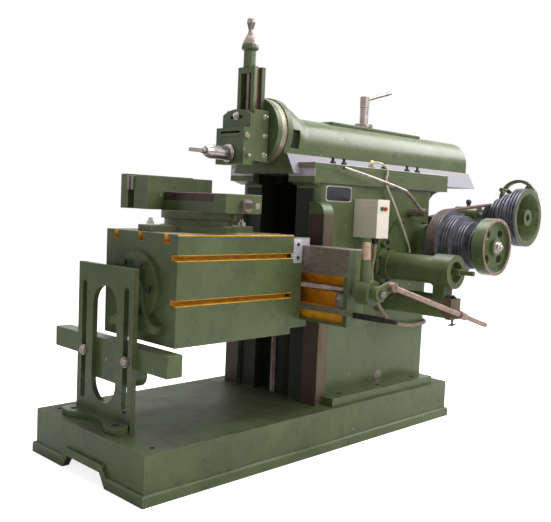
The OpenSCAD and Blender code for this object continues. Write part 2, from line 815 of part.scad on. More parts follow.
// upper cone pulley on the countershaft, large step outwards
upper_cone_y = lower_cone_y - cone_l;
module upper_cone() {
  color(dark) union() {
    translate([counter_x, upper_cone_y, counter_z]) rotate([-90, 0, 0]) cone(upper_cone_r, counter_shaft_r);
    rod_y(upper_cone_y + cone_step_w, bearing_y1 + counter_out, counter_x, counter_z, counter_shaft_r);
  }
}

// three belts from the large lower step to the small upper step
belt_t = 11;
belt_fn = 64;
module belt_loop(inner) {
  r0 = step_r(cone_r, 0) - groove_d + slip + (inner ? 0 : belt_t);
  r1 = step_r(upper_cone_r, steps_n - 1) - groove_d + slip + (inner ? 0 : belt_t);
  hull() {
    translate([input_x, input_z]) circle(r = r0, $fn = belt_fn);
    translate([counter_x, counter_z]) circle(r = r1, $fn = belt_fn);
  }
}

module drive_belt() {
  w = groove_p * groove_foot_share - slip;
  color("#6b4a35") for (k = [0 : groove_n - 1]) {
    y = lower_cone_y - step_side - (k + 0.5) * groove_p;
    along_y(y - w / 2, y + w / 2) difference() {
      belt_loop(false);
      belt_loop(true);
    }
  }
}

// handwheel with four windows on the outer end of the input shaft
wheel_rim_t = 16;
wheel_web_t = 18;
wheel_hub_r = 40;
window_r = 24;
window_pcd_share = 0.62;
wheel_y0 = input_end_y;
module handwheel() {
  color(paint) translate([input_x, wheel_y0 + wheel_w, input_z]) rotate([90, 0, 0]) difference() {
    union() {
      difference() {
        cylinder(h = wheel_w, r = wheel_r);
        translate([0, 0, -over]) cylinder(h = wheel_w + 2 * over, r = wheel_r - wheel_rim_t);
      }
      translate([0, 0, (wheel_w - wheel_web_t) / 2]) cylinder(h = wheel_web_t, r = wheel_r - wheel_rim_t / 2);
      cylinder(h = wheel_w, r = wheel_hub_r);
    }
    translate([0, 0, -over]) cylinder(h = wheel_w + 2 * over, r = input_shaft_r + fit);
    for (k = [0 : 3]) rotate([0, 0, 90 * k + 45]) translate([wheel_r * window_pcd_share, 0, -over])
      cylinder(h = wheel_w + 2 * over, r = window_r);
  }
}

// spur gear with straight flanked teeth and generous backlash
tip_share = 0.22;
root_share = 0.58;
addendum_share = 0.85;
dedendum_share = 1.15;
module gear_outline(teeth) {
  rp = gear_m * teeth / 2;
  pitch = 360 / teeth;
  polygon([for (k = [0 : teeth - 1]) for (c = [[-root_share, -dedendum_share], [-tip_share, addendum_share],
    [tip_share, addendum_share], [root_share, -dedendum_share]])
    let(a = pitch * (k + c[0] / 2), r = rp + gear_m * c[1]) [r * cos(a), r * sin(a)]]);
}

bull_web_r = 285;
bull_web_cut = 14;
bull_hub_r = 70;
crank_seat = 17;
module bull_gear() {
  color(steel) difference() {
    union() {
      translate([bull_x, pinion_y0 + gear_w, bull_z]) rotate([90, -mesh_angle, 0])
        linear_extrude(gear_w) gear_outline(bull_teeth);
      rod_y(feed_y1 - crank_seat, pinion_y0 + gear_w, bull_x, bull_z, bull_shaft_r);
    }
    difference() {
      rod_y(pinion_y0 - over, pinion_y0 + bull_web_cut, bull_x, bull_z, bull_web_r);
      rod_y(pinion_y0 - 2 * over, pinion_y0 + bull_web_cut + over, bull_x, bull_z, bull_hub_r);
    }
  }
}

// crank pin and sliding block on the face of the bull gear, set for the full stroke
block_w = 56;
block_h = 92;
block_gap = 1;
crank_pin_r = 24;
block_back = 8;
module crank_block() {
  y0 = pinion_y0 + gear_w;
  crank_r = (bull_z - pivot_z) * sin(arm_swing);
  color(steel) translate([bull_x, 0, bull_z]) rotate([0, arm_swing, 0]) {
    rod_y(y0, arm_y0 - block_gap, crank_r, 0, crank_pin_r);
    box(crank_r - block_w / 2, crank_r + block_w / 2, y0 + block_back, arm_y0 - block_gap, -block_h / 2,
      block_h / 2);
  }
}

module input_pinion() {
  color(steel) translate([input_x, pinion_y0 + gear_w, input_z]) rotate([90, 0, 0]) difference() {
    rotate([0, 0, mesh_angle + 180 + 180 / pinion_teeth]) linear_extrude(gear_w) gear_outline(pinion_teeth);
    translate([0, 0, -over]) cylinder(h = gear_w + 2 * over, r = input_shaft_r + fit);
  }
}

// rocker arm: pivots low in the column, forked top round the pin of the ram block
pivot_rise = 60;
pivot_z = base_h + pivot_rise;
pivot_r = 25;
pin_drop = 18;
pin_z = ram_z - pin_drop;
pin_r = 22;
pin_play = 6;
arm_reach = pin_z - pivot_z;
arm_swing = atan(stroke / 2 / arm_reach);
arm_hub_r = 55;
arm_foot_half = 62;
arm_top_half = 44;
arm_slot_half = 31;
arm_slot_z0 = 195;
arm_slot_z1 = 550;
arm_tip = 60;
fork_foot = 28;
module rocker_arm() {
  color(paint) translate([pivot_x, 0, pivot_z]) rotate([0, arm_swing, 0]) difference() {
    along_y(arm_y0, arm_y1) difference() {
      union() {
        circle(r = arm_hub_r);
        polygon([[-arm_foot_half, arm_slot_z0 / 2], [-arm_hub_r / 2, 0], [arm_hub_r / 2, 0],
          [arm_foot_half, arm_slot_z0 / 2], [arm_foot_half, arm_slot_z1], [arm_top_half,
            arm_slot_z1 + arm_foot_half],
          [arm_top_half, arm_reach + arm_tip], [-arm_top_half, arm_reach + arm_tip],
          [-arm_top_half, arm_slot_z1 + arm_foot_half], [-arm_foot_half, arm_slot_z1]]);
      }
      translate([-arm_slot_half, arm_slot_z0]) square([arm_slot_half * 2, arm_slot_z1 - arm_slot_z0]);
      translate([-pin_r - pin_play, arm_reach - fork_foot]) square([(pin_r + pin_play) * 2,
        arm_tip + fork_foot + over]);
    }
    rod_y(arm_y0 - over, arm_y1 + over, 0, 0, pivot_r + fit);
  }
}

module rocker_shaft() {
  color(steel) rod_y(-col_w / 2, col_w / 2, pivot_x, pivot_z, pivot_r);
}

// ram: dovetail ways below, rounded body above, flared front flange
channel_half = 75;
ram_channel_h = 172;
ram_channel_in = 135;
ram_channel_x0 = ram_x + ram_channel_in;
ram_channel_end = 50;
flange_r = 145;
flange_t = 30;
neck_l = 185;
neck_n = 3;
neck_fn = 40;
pocket_l = 58;
pocket_h = 78;
pocket_drop = 68;
pocket_d = 34;
function neck_share(i) = (i / neck_n) * (i / neck_n) * (3 - 2 * i / neck_n);
neck_sink = 6;
module neck_ring(i) {
  u = neck_share(i);
  x = ram_x + flange_t / 2 + neck_l * i / neck_n;
  z = swivel_z + (ram_z + ram_axis - swivel_z) * u;
  rod_x(x, x + over, 0, z, flange_r - neck_sink + (ram_r - flange_r) * u, $fn = neck_fn);
}

module ram_outline() {
  polygon([[-way_at(0), ram_z], [way_at(0), ram_z], [way_at(ram_way_h), ram_z + ram_way_h],
    [-way_at(ram_way_h), ram_z + ram_way_h]]);
  translate([-ram_r, ram_z + ram_way_h - over]) square([2 * ram_r, ram_axis - ram_way_h + over]);
  translate([0, ram_z + ram_axis]) circle(r = ram_r);
}

module ram() {
  color(paint) difference() {
    union() {
      along_x(ram_x, ram_x1) ram_outline();
      rod_x(ram_x, ram_x + flange_t, 0, swivel_z, flange_r);
      for (i = [0 : neck_n - 1]) hull() {
        neck_ring(i);
        neck_ring(i + 1);
      }
    }
    box(ram_channel_x0, ram_x1 - ram_channel_end, -channel_half, channel_half, ram_z - over,
      ram_z + ram_channel_h);
    both_sides() box(ram_x + flange_t, ram_x + flange_t + pocket_l, flange_r - pocket_d, flange_r + over,
      swivel_z - pocket_drop, swivel_z - pocket_drop + pocket_h);
    box(cover_front, cover_front + cover_l, -ram_r, ram_r, strip_z, strip_z + ram_r);
    rod_z(ram_z + ram_axis, post_z + over, post_x, 0, post_r + slip);
  }
}

// cover strip on top of the ram
strip_in = 395;
cover_front = ram_x + strip_in;
cover_l = 720;
cover_w = 90;
strip_t = 16;
strip_drop = 8;
strip_z = ram_z + ram_axis + ram_r - strip_drop;
module ram_cover() {
  color(paint) difference() {
    box(cover_front, cover_front + cover_l, -cover_w / 2, cover_w / 2, strip_z, strip_z + strip_t);
    rod_z(strip_z - over, strip_z + strip_t + over, post_x, 0, post_r + slip);
  }
}

// block clamped in the ram, with cheeks and the pin that the rocker arm drives
block_x = pivot_x + stroke / 2;
block_half = 60;
block_lift = 57;
block_z0 = ram_z + block_lift;
cheek_z0 = pin_z - pin_r;
module ram_block() {
  y0 = arm_y0 - cheek_gap;
  y1 = arm_y1 + cheek_gap;
  color(steel) difference() {
    union() {
      box(block_x - block_half, block_x + block_half, y0 - cheek_t, y1 + cheek_t, block_z0,
        ram_z + ram_channel_h);
      box(block_x - cheek_half, block_x + cheek_half, y0 - cheek_t, y0, cheek_z0, block_z0 + over);
      box(block_x - cheek_half, block_x + cheek_half, y1, y1 + cheek_t, cheek_z0, block_z0 + over);
      rod_y(y0 - cheek_t / 2, y1 + cheek_t / 2, block_x, pin_z, pin_r);
    }
  }
}

// clamp post and lever that lock the block in the ram
post_in = 685;
post_h = 115;
post_x = ram_x + post_in;
post_r = 21;
post_z = strip_z + post_h;
post_collar_r = 45;
post_collar_h = 19;
stud_r = 12;
stud_h = 46;
lever_hub_r = 23;
lever_hub_h = 54;
lever_l = 219;
lever_r = 9;
lever_angle = 16.7;
lever_rise = 38;
module clamp_post() {
  color(steel) union() {
    rod_z(ram_z + ram_channel_h, post_z, post_x, 0, post_r);
    rod_z(strip_z + strip_t, strip_z + strip_t + post_collar_h, post_x, 0, post_collar_r);
    rod_z(post_z, post_z + stud_h, post_x, 0, stud_r);
  }
}

module clamp_lever() {
  color(steel) translate([post_x, 0, post_z + slip]) difference() {
    union() {
      cylinder(h = lever_hub_h, r = lever_hub_r);
      translate([0, 0, lever_rise]) rotate([0, 90 - lever_angle, 0]) cylinder(h = lever_l, r = lever_r);
    }
    translate([0, 0, -over]) cylinder(h = stud_h + over, r = stud_r + fit);
  }
}

// swivel head: graduated disc with the upright slide guide
tower_x1 = ram_x - swivel_t;
tower_root = 20;
dovetail_d = 33;
tower_face = 12;
tower_x0 = tower_x1 - tower_root - dovetail_d - tower_face;
dovetail_in = 15;
tower_z0 = swivel_z - swivel_r;
tower_z1 = tower_z0 + tower_h;
screw_slot_half = 30;
screw_slot_d = 34;
screw_end_t = 26;
feed_screw_r = 11;
cap_r = 26;
cap_h = 65;
screw_in = 17;
screw_x = tower_x0 + screw_in;
module tower_outline(c) {
  h = guide_tower_w / 2 + c;
  polygon([[tower_x1, -h], [tower_x1 - tower_root - c, -h], [tower_x1 - tower_root - c, dovetail_in - h],
    [tower_x0 + tower_face + c, -h], [tower_x0 - c, -h], [tower_x0 - c, h], [tower_x0 + tower_face + c, h],
    [tower_x1 - tower_root - c, h - dovetail_in], [tower_x1 - tower_root - c, h], [tower_x1, h]]);
}

module swivel_head() {
  color(paint) difference() {
    union() {
      rod_x(tower_x1, ram_x, 0, swivel_z, swivel_r);
      translate([0, 0, tower_z0]) linear_extrude(tower_h) tower_outline(0);
      rod_z(tower_z1, tower_z1 + cap_h, screw_x, 0, cap_r);
    }
    box(tower_x0 - over, tower_x0 + screw_slot_d, -screw_slot_half, screw_slot_half,
      tower_z0 + screw_end_t, tower_z1 - screw_end_t);
    rod_z(tower_z1 - screw_end_t - over, tower_z1 + cap_h + over, screw_x, 0, feed_screw_r + fit);
  }
}

// tool slide that runs on the guide
slide_front = 24;
slide_back = 5;
slide_up = 5;
slide_x0 = tower_x0 - slide_front;
slide_z0 = tower_z0 + slide_up;
slide_z1 = slide_z0 + slide_h;
nut_h = 60;
nut_rise = 75;
pivot_stud_r = 14;
pivot_stud_l = 15;
module tool_slide() {
  color(paint) difference() {
    union() {
      difference() {
        box(slide_x0, tower_x1 - slide_back, -slide_w / 2, slide_w / 2, slide_z0, slide_z1);
        translate([0, 0, slide_z0 - over]) linear_extrude(slide_h + 2 * over) tower_outline(slip);
        box(tower_x1 - tower_root - slip, tower_x1, -guide_tower_w / 2 - slip, guide_tower_w / 2 + slip,
          slide_z0 - over, slide_z1 + over);
      }
      box(slide_x0, tower_x0 + screw_slot_d - slip * 4, slip * 2 - screw_slot_half,
        screw_slot_half - slip * 2,
        slide_z0 + nut_rise, slide_z0 + nut_rise + nut_h);
      rod_x(slide_x0 - pivot_stud_l, slide_x0 + over, 0, box_pivot_z, pivot_stud_r);
    }
    rod_z(slide_z0, slide_z1, screw_x, 0, feed_screw_r + slip);
  }
}

module downfeed_screw() {
  color(steel) rod_z(tower_z0 + screw_end_t, tower_z1 + cap_h + handle_seat, screw_x, 0, feed_screw_r);
}

// pear shaped turned handle on top of the downfeed screw
handle_r = 36;
handle_h = 143;
handle_seat = 30;
handle_shares = [[0.5, 0], [0.94, 0.05], [1, 0.13], [0.78, 0.3], [0.42, 0.48], [0.28, 0.6], [0.38, 0.72],
  [0.5, 0.83],
  [0.4, 0.94], [0, 1]];
module downfeed_handle() {
  z = tower_z1 + cap_h + slip;
  color(steel) difference() {
    translate([screw_x, 0, z]) rotate_extrude() polygon(concat([[0, 0]],
      [for (q = sweep_path([for (s = handle_shares) [s[0] * handle_r, s[1] * handle_h]])) [max(q[0], 0),
        max(q[1], 0)]]));
    rod_z(z - over, z + handle_seat, screw_x, 0, feed_screw_r + fit);
  }
}

// clapper box: arc topped plate with two cheeks round the clapper block
apron_t = 21;
apron_x0 = slide_x0 - apron_t;
clapper_drop = 17;
clapper_z0 = slide_z0 - clapper_drop;
clapper_h = 151;
clapper_z1 = clapper_z0 + clapper_h;
clapper_pin_in = 34;
clapper_pin_z = clapper_z1 - clapper_pin_in;
clapper_pin_r = 9;
clapper_round = 17;
clapper_lid = 14;
clapper_pin_x = apron_x0 - slip - clapper_round;
clapper_x0 = apron_x0 - clapper_t;
apron_r = 172;
apron_rise = 2;
arc_slot_r = 86;
arc_slot_half = 8;
arc_slot_span = 20;
arc_steps = 2;
box_pivot_rise = 100;
box_pivot_z = slide_z0 + box_pivot_rise;
module clapper_box() {
  color(paint) difference() {
    union() {
      intersection() {
        box(apron_x0, slide_x0, -slide_w / 2, slide_w / 2, clapper_z0, slide_z1 + apron_r);
        rod_x(apron_x0 - over, slide_x0 + over, 0, slide_z1 + apron_rise - apron_r, apron_r);
      }
      both_sides() box(clapper_x0, apron_x0, clapper_w / 2, slide_w / 2, clapper_z0, clapper_z1);
      box(clapper_x0, apron_x0, -clapper_w / 2, clapper_w / 2, clapper_z1 - clapper_lid, clapper_z1);
    }
    both_sides() rod_y(clapper_w / 2 - over, slide_w / 2 + over, clapper_pin_x, clapper_pin_z, clapper_pin_r);
    for (k = [-arc_steps : arc_steps]) translate([0, 0,
      box_pivot_z]) rotate([k / arc_steps * arc_slot_span, 0, 0])
      rod_x(apron_x0 - over, slide_x0 + over, 0, arc_slot_r, arc_slot_half);
    rod_x(slide_x0 - pivot_stud_l - slip, slide_x0 + over, 0, box_pivot_z, pivot_stud_r + fit);
  }
}

module clapper_pin() {
  color(steel) rod_y(-slide_w / 2, slide_w / 2, clapper_pin_x, clapper_pin_z, clapper_pin_r);
}

module clapper_block() {
  color(paint) difference() {
    along_y(slip - clapper_w / 2, clapper_w / 2 - slip) union() {
      translate([clapper_x0, clapper_z0]) square([clapper_t - slip, clapper_pin_z - clapper_z0]);
      translate([clapper_pin_x, clapper_pin_z]) circle(r = clapper_round);
    }
    rod_y(-clapper_w, clapper_w, clapper_pin_x, clapper_pin_z, clapper_pin_r + fit);
  }
}

// tool post that points forward, with its clamp screw
tool_axis_rise = 45;
post_axis_z = clapper_z0 + tool_axis_rise;
tool_collar_r = 38;
tool_collar_t = 12;
tool_body_r = 29;
tool_body_l = 95;
tool_nose_r = 19;
tool_nose_l = 24;
tool_screw_r = 11;
tool_screw_l = 77;
tool_screw_in = 60;
tool_square_share = 0.8;
tool_tip_x = clapper_x0 - tool_collar_t - tool_body_l - tool_nose_l;
module tool_post() {
  color(steel) difference() {
    union() {
      rod_x(clapper_x0 - tool_collar_t, clapper_x0, 0, post_axis_z, tool_collar_r);
      rod_x(clapper_x0 - tool_collar_t - tool_body_l, clapper_x0, 0, post_axis_z, tool_body_r);
      translate([tool_tip_x, 0, post_axis_z]) rotate([0, 90, 0])
        cylinder(h = tool_nose_l, r1 = tool_nose_r, r2 = tool_body_r);
    }
    rod_x(tool_tip_x - over, tool_tip_x + tool_screw_in, 0, post_axis_z, tool_screw_r + fit);
  }
}

module tool_screw() {
  color(steel) union() {
    rod_x(tool_tip_x - tool_screw_l * (1 - tool_square_share), tool_tip_x + tool_screw_in, 0, post_axis_z,
      tool_screw_r);
    translate([tool_tip_x - tool_screw_l, 0, post_axis_z]) rotate([45, 0, 0]) rotate([0, 90, 0])
      cylinder(h = tool_screw_l * tool_square_share, r = tool_screw_r * square_share, $fn = 4);
  }
}

// cross rail: open front recess for the feed screw, ears that hold the vertical ways
recess_foot = 71;
recess_head = 109;
recess_z0 = rail_z + recess_foot;
recess_z1 = rail_top - recess_head;
recess_d = 65;
rail_end_t = 24;
groove_rise = 10;
groove_h = 36;
rail_groove_d = 20;
ear_t = 40;
ear_lip = 36;
ear_back = 26;
ear_foot = 45;
ear_head = 21;
cross_in = 32;
cross_rise = 145;
ear_z0 = rail_z + ear_foot;
ear_z1 = rail_top - ear_head;
cross_x = rail_x + cross_in;
cross_z = rail_z + cross_rise;
cross_r = 15;
elev_in = 35;
elev_down = 29;
elev_x = way_x + elev_in;
elev_r = 16;
boss_half = 40;
boss_low = 16;
boss_down = 32;
shaft_rise = 46;
shaft_in = 50;
boss_z0 = recess_z0 - boss_low;
boss_z1 = recess_z1 - boss_down;
shaft_z = rail_z + shaft_rise;
shaft_x = rail_x + shaft_in;
shaft_r = 12;
shaft_end = 60;
shaft_in_y = -shaft_end;
module cross_rail() {
  color(paint) difference() {
    union() {
      box(rail_x, way_x, -rail_l / 2, rail_l / 2, rail_z, rail_top);
      both_sides() {
        box(way_x, way_x + way_t + slip + ear_back, way_w / 2 + slip, way_w / 2 + ear_t, ear_z0, ear_z1);
        box(way_x + way_t + slip, way_x + way_t + slip + ear_back, way_w / 2 - ear_lip + slip,
          way_w / 2 + ear_t, ear_z0, ear_z1);
      }
      box(way_x, elev_x + boss_half - slip * 10, -boss_half, boss_half, boss_z0, boss_z1);
    }
    box(rail_x - over, rail_x + recess_d, rail_end_t - rail_l / 2, rail_l / 2 - rail_end_t, recess_z0,
      recess_z1);
    box(rail_x - over, rail_x + rail_groove_d, rail_end_t - rail_l / 2, rail_l / 2 - rail_end_t,
      rail_z + groove_rise, rail_z + groove_rise + groove_h);
    rod_y(-rail_l / 2 - over, rail_l / 2 + over, cross_x, cross_z, cross_r + fit);
    rod_z(boss_z0 - over, boss_z1 + over, elev_x, 0, elev_r + slip);
    rod_y(-rail_l / 2 - over, shaft_in_y, shaft_x, shaft_z, shaft_r + fit);
  }
}

module elevating_screw() {
  color(steel) rod_z(base_h, rail_top - elev_down, elev_x, 0, elev_r);
}

shaft_out = 204;
square_l = 60;
module elevating_shaft() {
  y0 = -rail_l / 2 - shaft_out;
  color(steel) union() {
    rod_y(y0 + square_l, shaft_in_y - slip, shaft_x, shaft_z, shaft_r);
    translate([shaft_x, y0 + square_l, shaft_z]) rotate([90, 0, 0]) rotate([0, 0, 45])
      cylinder(h = square_l, r = shaft_r * square_share, $fn = 4);
  }
}

// saddle between rail and table, lipped over the rail, with the feed nut
saddle_w = 430;
saddle_shift = 1;
saddle_y0 = table_y - saddle_w / 2 + saddle_shift;
saddle_y1 = table_y + saddle_w / 2 + saddle_shift;
lip_h = 32;
lip_d = 42;
nut_half = 40;
module saddle() {
  color(paint) difference() {
    union() {
      box(saddle_x, rail_x, saddle_y0, saddle_y1, rail_z - lip_h, rail_top + lip_h);
      box(rail_x - over, rail_x + lip_d, saddle_y0, saddle_y1, rail_top + slip, rail_top + lip_h);
      box(rail_x - over, rail_x + lip_d, saddle_y0, saddle_y1, rail_z - lip_h, rail_z - slip);
      box(rail_x - over, rail_x + recess_d - slip * 10, table_y - nut_half, table_y + nut_half,
        recess_z0 + slip * 10, recess_z1 - slip * 10);
    }
    rod_y(table_y - nut_half - over, table_y + nut_half + over, cross_x, cross_z, cross_r + slip);
  }
}

// box table with T-slots on the top and on the operator side
table_wall = 56;
table_top_t = 70;
top_slot_shares = [-0.35, 0, 0.35];
side_slot_shares = [0.21, 0.606];
module tee(l) {
  translate([-over, -slot_w / 2, -slot_mouth_d]) cube([l + 2 * over, slot_w, slot_mouth_d + over]);
  translate([-over, -slot_foot_w / 2, -slot_mouth_d - slot_foot_h]) cube([l + 2 * over, slot_foot_w,
    slot_foot_h]);
}

module table() {
  y0 = table_y - table_w / 2;
  color(paint) difference() {
    box(table_x, saddle_x, y0, y0 + table_w, table_z0, table_z1);
    box(table_x + table_wall, saddle_x - table_wall, y0 + table_wall, y0 + table_w - table_wall,
      table_z0 - over, table_z1 - table_top_t);
    for (s = top_slot_shares) translate([table_x, table_y + s * table_w, table_z1]) tee(table_l);
    for (s = side_slot_shares) translate([table_x, y0, table_z1 - s * table_h]) rotate([90, 0,
      0]) tee(table_l);
  }
}

// round pad and flared foot on the table front, above the support bar
pad_r = 128;
pad_t = 18;
pad_rise = 200;
pad_z = table_z0 + pad_rise;
shoe_shift = -2;
foot_half = 150;
foot_flat = 24;
bell_r = 110;
bell_in = 15;
shoe_t = 32;
shoe_x0 = table_x - shoe_t;
shoe_rise = 44;
bar_drop = 17;
bar_top = table_z0 - bar_drop;
module table_shoe() {
  y = table_y + shoe_shift;
  z = table_z0 + shoe_rise;
  color(paint) union() {
    rod_x(table_x - pad_t, table_x, y, pad_z, pad_r);
    along_x(shoe_x0, table_x) difference() {
      translate([y - foot_half, z]) square([2 * foot_half, foot_flat + bell_r]);
      for (i = [-1, 1]) translate([y + i * (foot_half + bell_in), z + foot_flat + bell_r]) circle(r = bell_r);
    }
    along_x(shoe_x0, table_x) translate([y, z + foot_flat + bell_r]) circle(r = foot_half + bell_in - bell_r);
  }
}

// bar behind the support plate, deeper in the middle
bar_shift = 15.5;
bar_y = plate_y + bar_shift;
bar_deep = 76;
bar_deep_half = 160;
bar_round = 40;
module support_bar() {
  x1 = plate_x1 + bar_t;
  color(paint) union() {
    box(plate_x1, x1, bar_y - bar_l / 2, bar_y + bar_l / 2, bar_top - bar_h, bar_top);
    box(plate_x1, x1, plate_y - bar_deep_half, plate_y + bar_deep_half,
      bar_top - bar_h - bar_deep + bar_round, bar_top - bar_h / 2);
    box(plate_x1, x1, plate_y - bar_deep_half + bar_round, plate_y + bar_deep_half - bar_round,
      bar_top - bar_h - bar_deep, bar_top - bar_h / 2);
    for (i = [-1, 1])
      rod_x(plate_x1, x1, plate_y + i * (bar_deep_half - bar_round),
        bar_top - bar_h - bar_deep + bar_round, bar_round);
  }
}

// vise: round base with two bolt lugs on the table
vise_shift = 20;
vise_x = (table_x + saddle_x) / 2 - vise_shift;
vise_base_h = 25;
lug_l = 258;
lug_half = 42;
lug_bolt_in = 26;
vise_bolt_r = 8;
neck_h = 25;
neck_r = 135;
jaw_off = -10;
pivot_pin_r = 30;
pivot_pin_h = 22;
module vise_base() {
  color(paint) difference() {
    union() {
      rod_z(table_z1, table_z1 + vise_base_h, vise_x, table_y, vise_r);
      box(vise_x - lug_l, vise_x + lug_l, table_y - lug_half, table_y + lug_half, table_z1,
        table_z1 + vise_base_h);
      rod_z(table_z1, bed_z0, vise_x, table_y, neck_r);
      rod_z(table_z1, bed_z0 + pivot_pin_h, vise_x, table_y, pivot_pin_r);
    }
    for (i = [-1, 1])
      rod_z(table_z1 - over, table_z1 + vise_base_h + over, vise_x + i * (lug_l - lug_bolt_in), table_y,
        vise_bolt_r + slip);
  }
}

tee_head_h = 11;
tee_head_w = 28;
nut_r = 15;
nut_t = 14;
stud_out = 26;
module vise_bolts() {
  z = table_z1 - slot_mouth_d;
  color(steel) for (i = [-1, 1]) {
    x = vise_x + i * (lug_l - lug_bolt_in);
    box(x - tee_head_w / 2, x + tee_head_w / 2, table_y - tee_head_w / 2, table_y + tee_head_w / 2,
      z - tee_head_h, z);
    rod_z(z - tee_head_h / 2, table_z1 + vise_base_h + stud_out, x, table_y, vise_bolt_r);
    translate([x, table_y, table_z1 + vise_base_h]) cylinder(h = nut_t, r = nut_r, $fn = 6);
  }
}

// vise body: swivel disc, bed with screw channel, fixed jaw and screw bracket
swivel_disc_r = 148;
swivel_disc_h = 30;
bed_h = 71;
bed_z0 = table_z1 + vise_base_h + neck_h;
bed_z1 = bed_z0 + swivel_disc_h + bed_h;
bed_back = 286;
bed_y1 = table_y + bed_back;
bed_y0 = bed_y1 - bed_l;
fixed_jaw_t = 50;
fixed_jaw_h = 66;
jaw_skirt = 71;
bed_channel_half = 30;
bed_channel_d = 62;
bracket_l = 40;
vise_screw_r = 16;
vise_screw_down = 41;
vise_screw_z = bed_z1 - vise_screw_down;
fixed_face_y = bed_y1 - fixed_jaw_t;
jaw_plate_h = 55;
jaw_plate_lift = 4;
jaw_plate_side = 6;
jaw_plate_z0 = bed_z1 + jaw_plate_lift;
jaw_plate_l = jaw_l + 2 * jaw_plate_side;
jaw_x = vise_x + jaw_off;
module vise_body() {
  color(paint) difference() {
    union() {
      rod_z(bed_z0, bed_z0 + swivel_disc_h, vise_x, table_y, swivel_disc_r);
      box(vise_x - bed_w / 2, vise_x + bed_w / 2, bed_y0, bed_y1, bed_z0 + swivel_disc_h, bed_z1);
      box(jaw_x - jaw_l / 2, jaw_x + jaw_l / 2, fixed_face_y, bed_y1, bed_z1 - jaw_skirt,
        bed_z1 + fixed_jaw_h);
    }
    rod_z(bed_z0 - over, bed_z0 + pivot_pin_h + slip, vise_x, table_y, pivot_pin_r + fit);
    box(vise_x - bed_channel_half, vise_x + bed_channel_half, bed_y0 + bracket_l, fixed_face_y,
      bed_z1 - bed_channel_d, bed_z1 + over);
    rod_y(bed_y0 - over, bed_y0 + bracket_l + over, vise_x, vise_screw_z, vise_screw_r + fit);
  }
}

// moving jaw astride the bed, with the screw nut below
moving_face_y = fixed_face_y - 2 * jaw_plate_t - jaw_gap;
moving_y0 = moving_face_y - jaw_t;
moving_jaw_h = 58;
tongue_end = 12;
module moving_jaw() {
  moving_plate();
  color(paint) difference() {
    union() {
      difference() {
        box(jaw_x - jaw_l / 2, jaw_x + jaw_l / 2, moving_y0, moving_face_y, bed_z1 - jaw_skirt,
          bed_z1 + moving_jaw_h);
        box(vise_x - bed_w / 2 - slip, vise_x + bed_w / 2 + slip, moving_y0 - over, moving_face_y + over,
          bed_z1 - jaw_skirt - over, bed_z1);
      }
      box(vise_x - bed_channel_half + slip * 2, vise_x + bed_channel_half - slip * 2, moving_y0 + tongue_end,
        moving_face_y - tongue_end, bed_z1 - bed_channel_d + slip * 5, bed_z1 + over);
    }
    rod_y(moving_y0 - over, moving_face_y + over, vise_x, vise_screw_z, vise_screw_r + slip);
  }
}

// hardened plate on the face of a jaw
module jaw_face(y0) {
  box(jaw_x - jaw_plate_l / 2, jaw_x + jaw_plate_l / 2, y0, y0 + jaw_plate_t, jaw_plate_z0,
    jaw_plate_z0 + jaw_plate_h);
}

module moving_plate() {
  color(steel) jaw_face(moving_face_y);
}

module jaw_plate() {
  color(steel) jaw_face(fixed_face_y - jaw_plate_t);
}

vise_square_l = 50;
vise_collar_r = 23;
module vise_screw() {
  color(steel) union() {
    rod_y(bed_y0 - vise_collar_r, fixed_face_y - jaw_gap, vise_x, vise_screw_z, vise_screw_r);
    rod_y(bed_y0 - vise_collar_r, bed_y0 - slip, vise_x, vise_screw_z, vise_collar_r);
    translate([vise_x, bed_y0 - vise_collar_r, vise_screw_z]) rotate([90, 0, 0]) rotate([0, 0, 45])
      cylinder(h = vise_square_l, r = vise_screw_r * square_share, $fn = 4);
  }
}

// cross feed screw in the rail recess, running out to the ratchet
cross_out = 152;
module cross_screw() {
  color(steel) rod_y(-rail_l / 2 - cross_out, rail_l / 2 + rail_end_t / 2, cross_x, cross_z, cross_r);
}

// ratchet housing on the feed screw with upright pawl post and rod arm
ratchet_gap = 36;
ratchet_l = 100;
ratchet_r = 48;
ratchet_y1 = -rail_l / 2 - ratchet_gap;
ratchet_y0 = ratchet_y1 - ratchet_l;
pawl_post_r = 20;
pawl_post_h = 126;
pawl_r = 9;
rod_arm_x = 58;
rod_arm_z = 26;
rod_arm_t = 16;
rod_pin_r = 9;
rod_r = 11;
rod_eye_r = 20;
rod_eye_t = 24;
ratchet_neck_r = 30;
ratchet_neck_l = 33;
web_shares = [0.5, 0.8];
eye_shares = [0.6, 0.8];
pawl_share = 0.2;
pawl_y = ratchet_y1 - ratchet_l * pawl_share;
module ratchet_arm() {
  x1 = cross_x + rod_arm_x;
  z1 = cross_z + rod_arm_z;
  color(paint) difference() {
    union() {
      rod_y(ratchet_y0 + ratchet_neck_l, ratchet_y1, cross_x, cross_z, ratchet_r);
      rod_y(ratchet_y0, ratchet_y1, cross_x, cross_z, ratchet_neck_r);
      rod_z(cross_z, cross_z + pawl_post_h, cross_x, pawl_y, pawl_post_r);
      along_y(ratchet_y0, ratchet_y0 + rod_arm_t) polygon([
        [cross_x - ratchet_neck_r * web_shares[0], cross_z + ratchet_neck_r * web_shares[1]],
        [cross_x + ratchet_neck_r * web_shares[0], cross_z - ratchet_neck_r * web_shares[1]],
        [x1 + rod_eye_r * eye_shares[0], z1 - rod_eye_r * eye_shares[1]], [x1, z1 + rod_eye_r]]);
      rod_y(ratchet_y0 - rod_eye_t - slip, ratchet_y0 + rod_arm_t, x1, z1, rod_pin_r);
    }
    rod_y(ratchet_y0 - over - rod_eye_t, ratchet_y1 + over, cross_x, cross_z, cross_r + fit);
    rod_z(cross_z + ratchet_r, cross_z + pawl_post_h + over, cross_x, pawl_y, pawl_r + fit);
  }
}

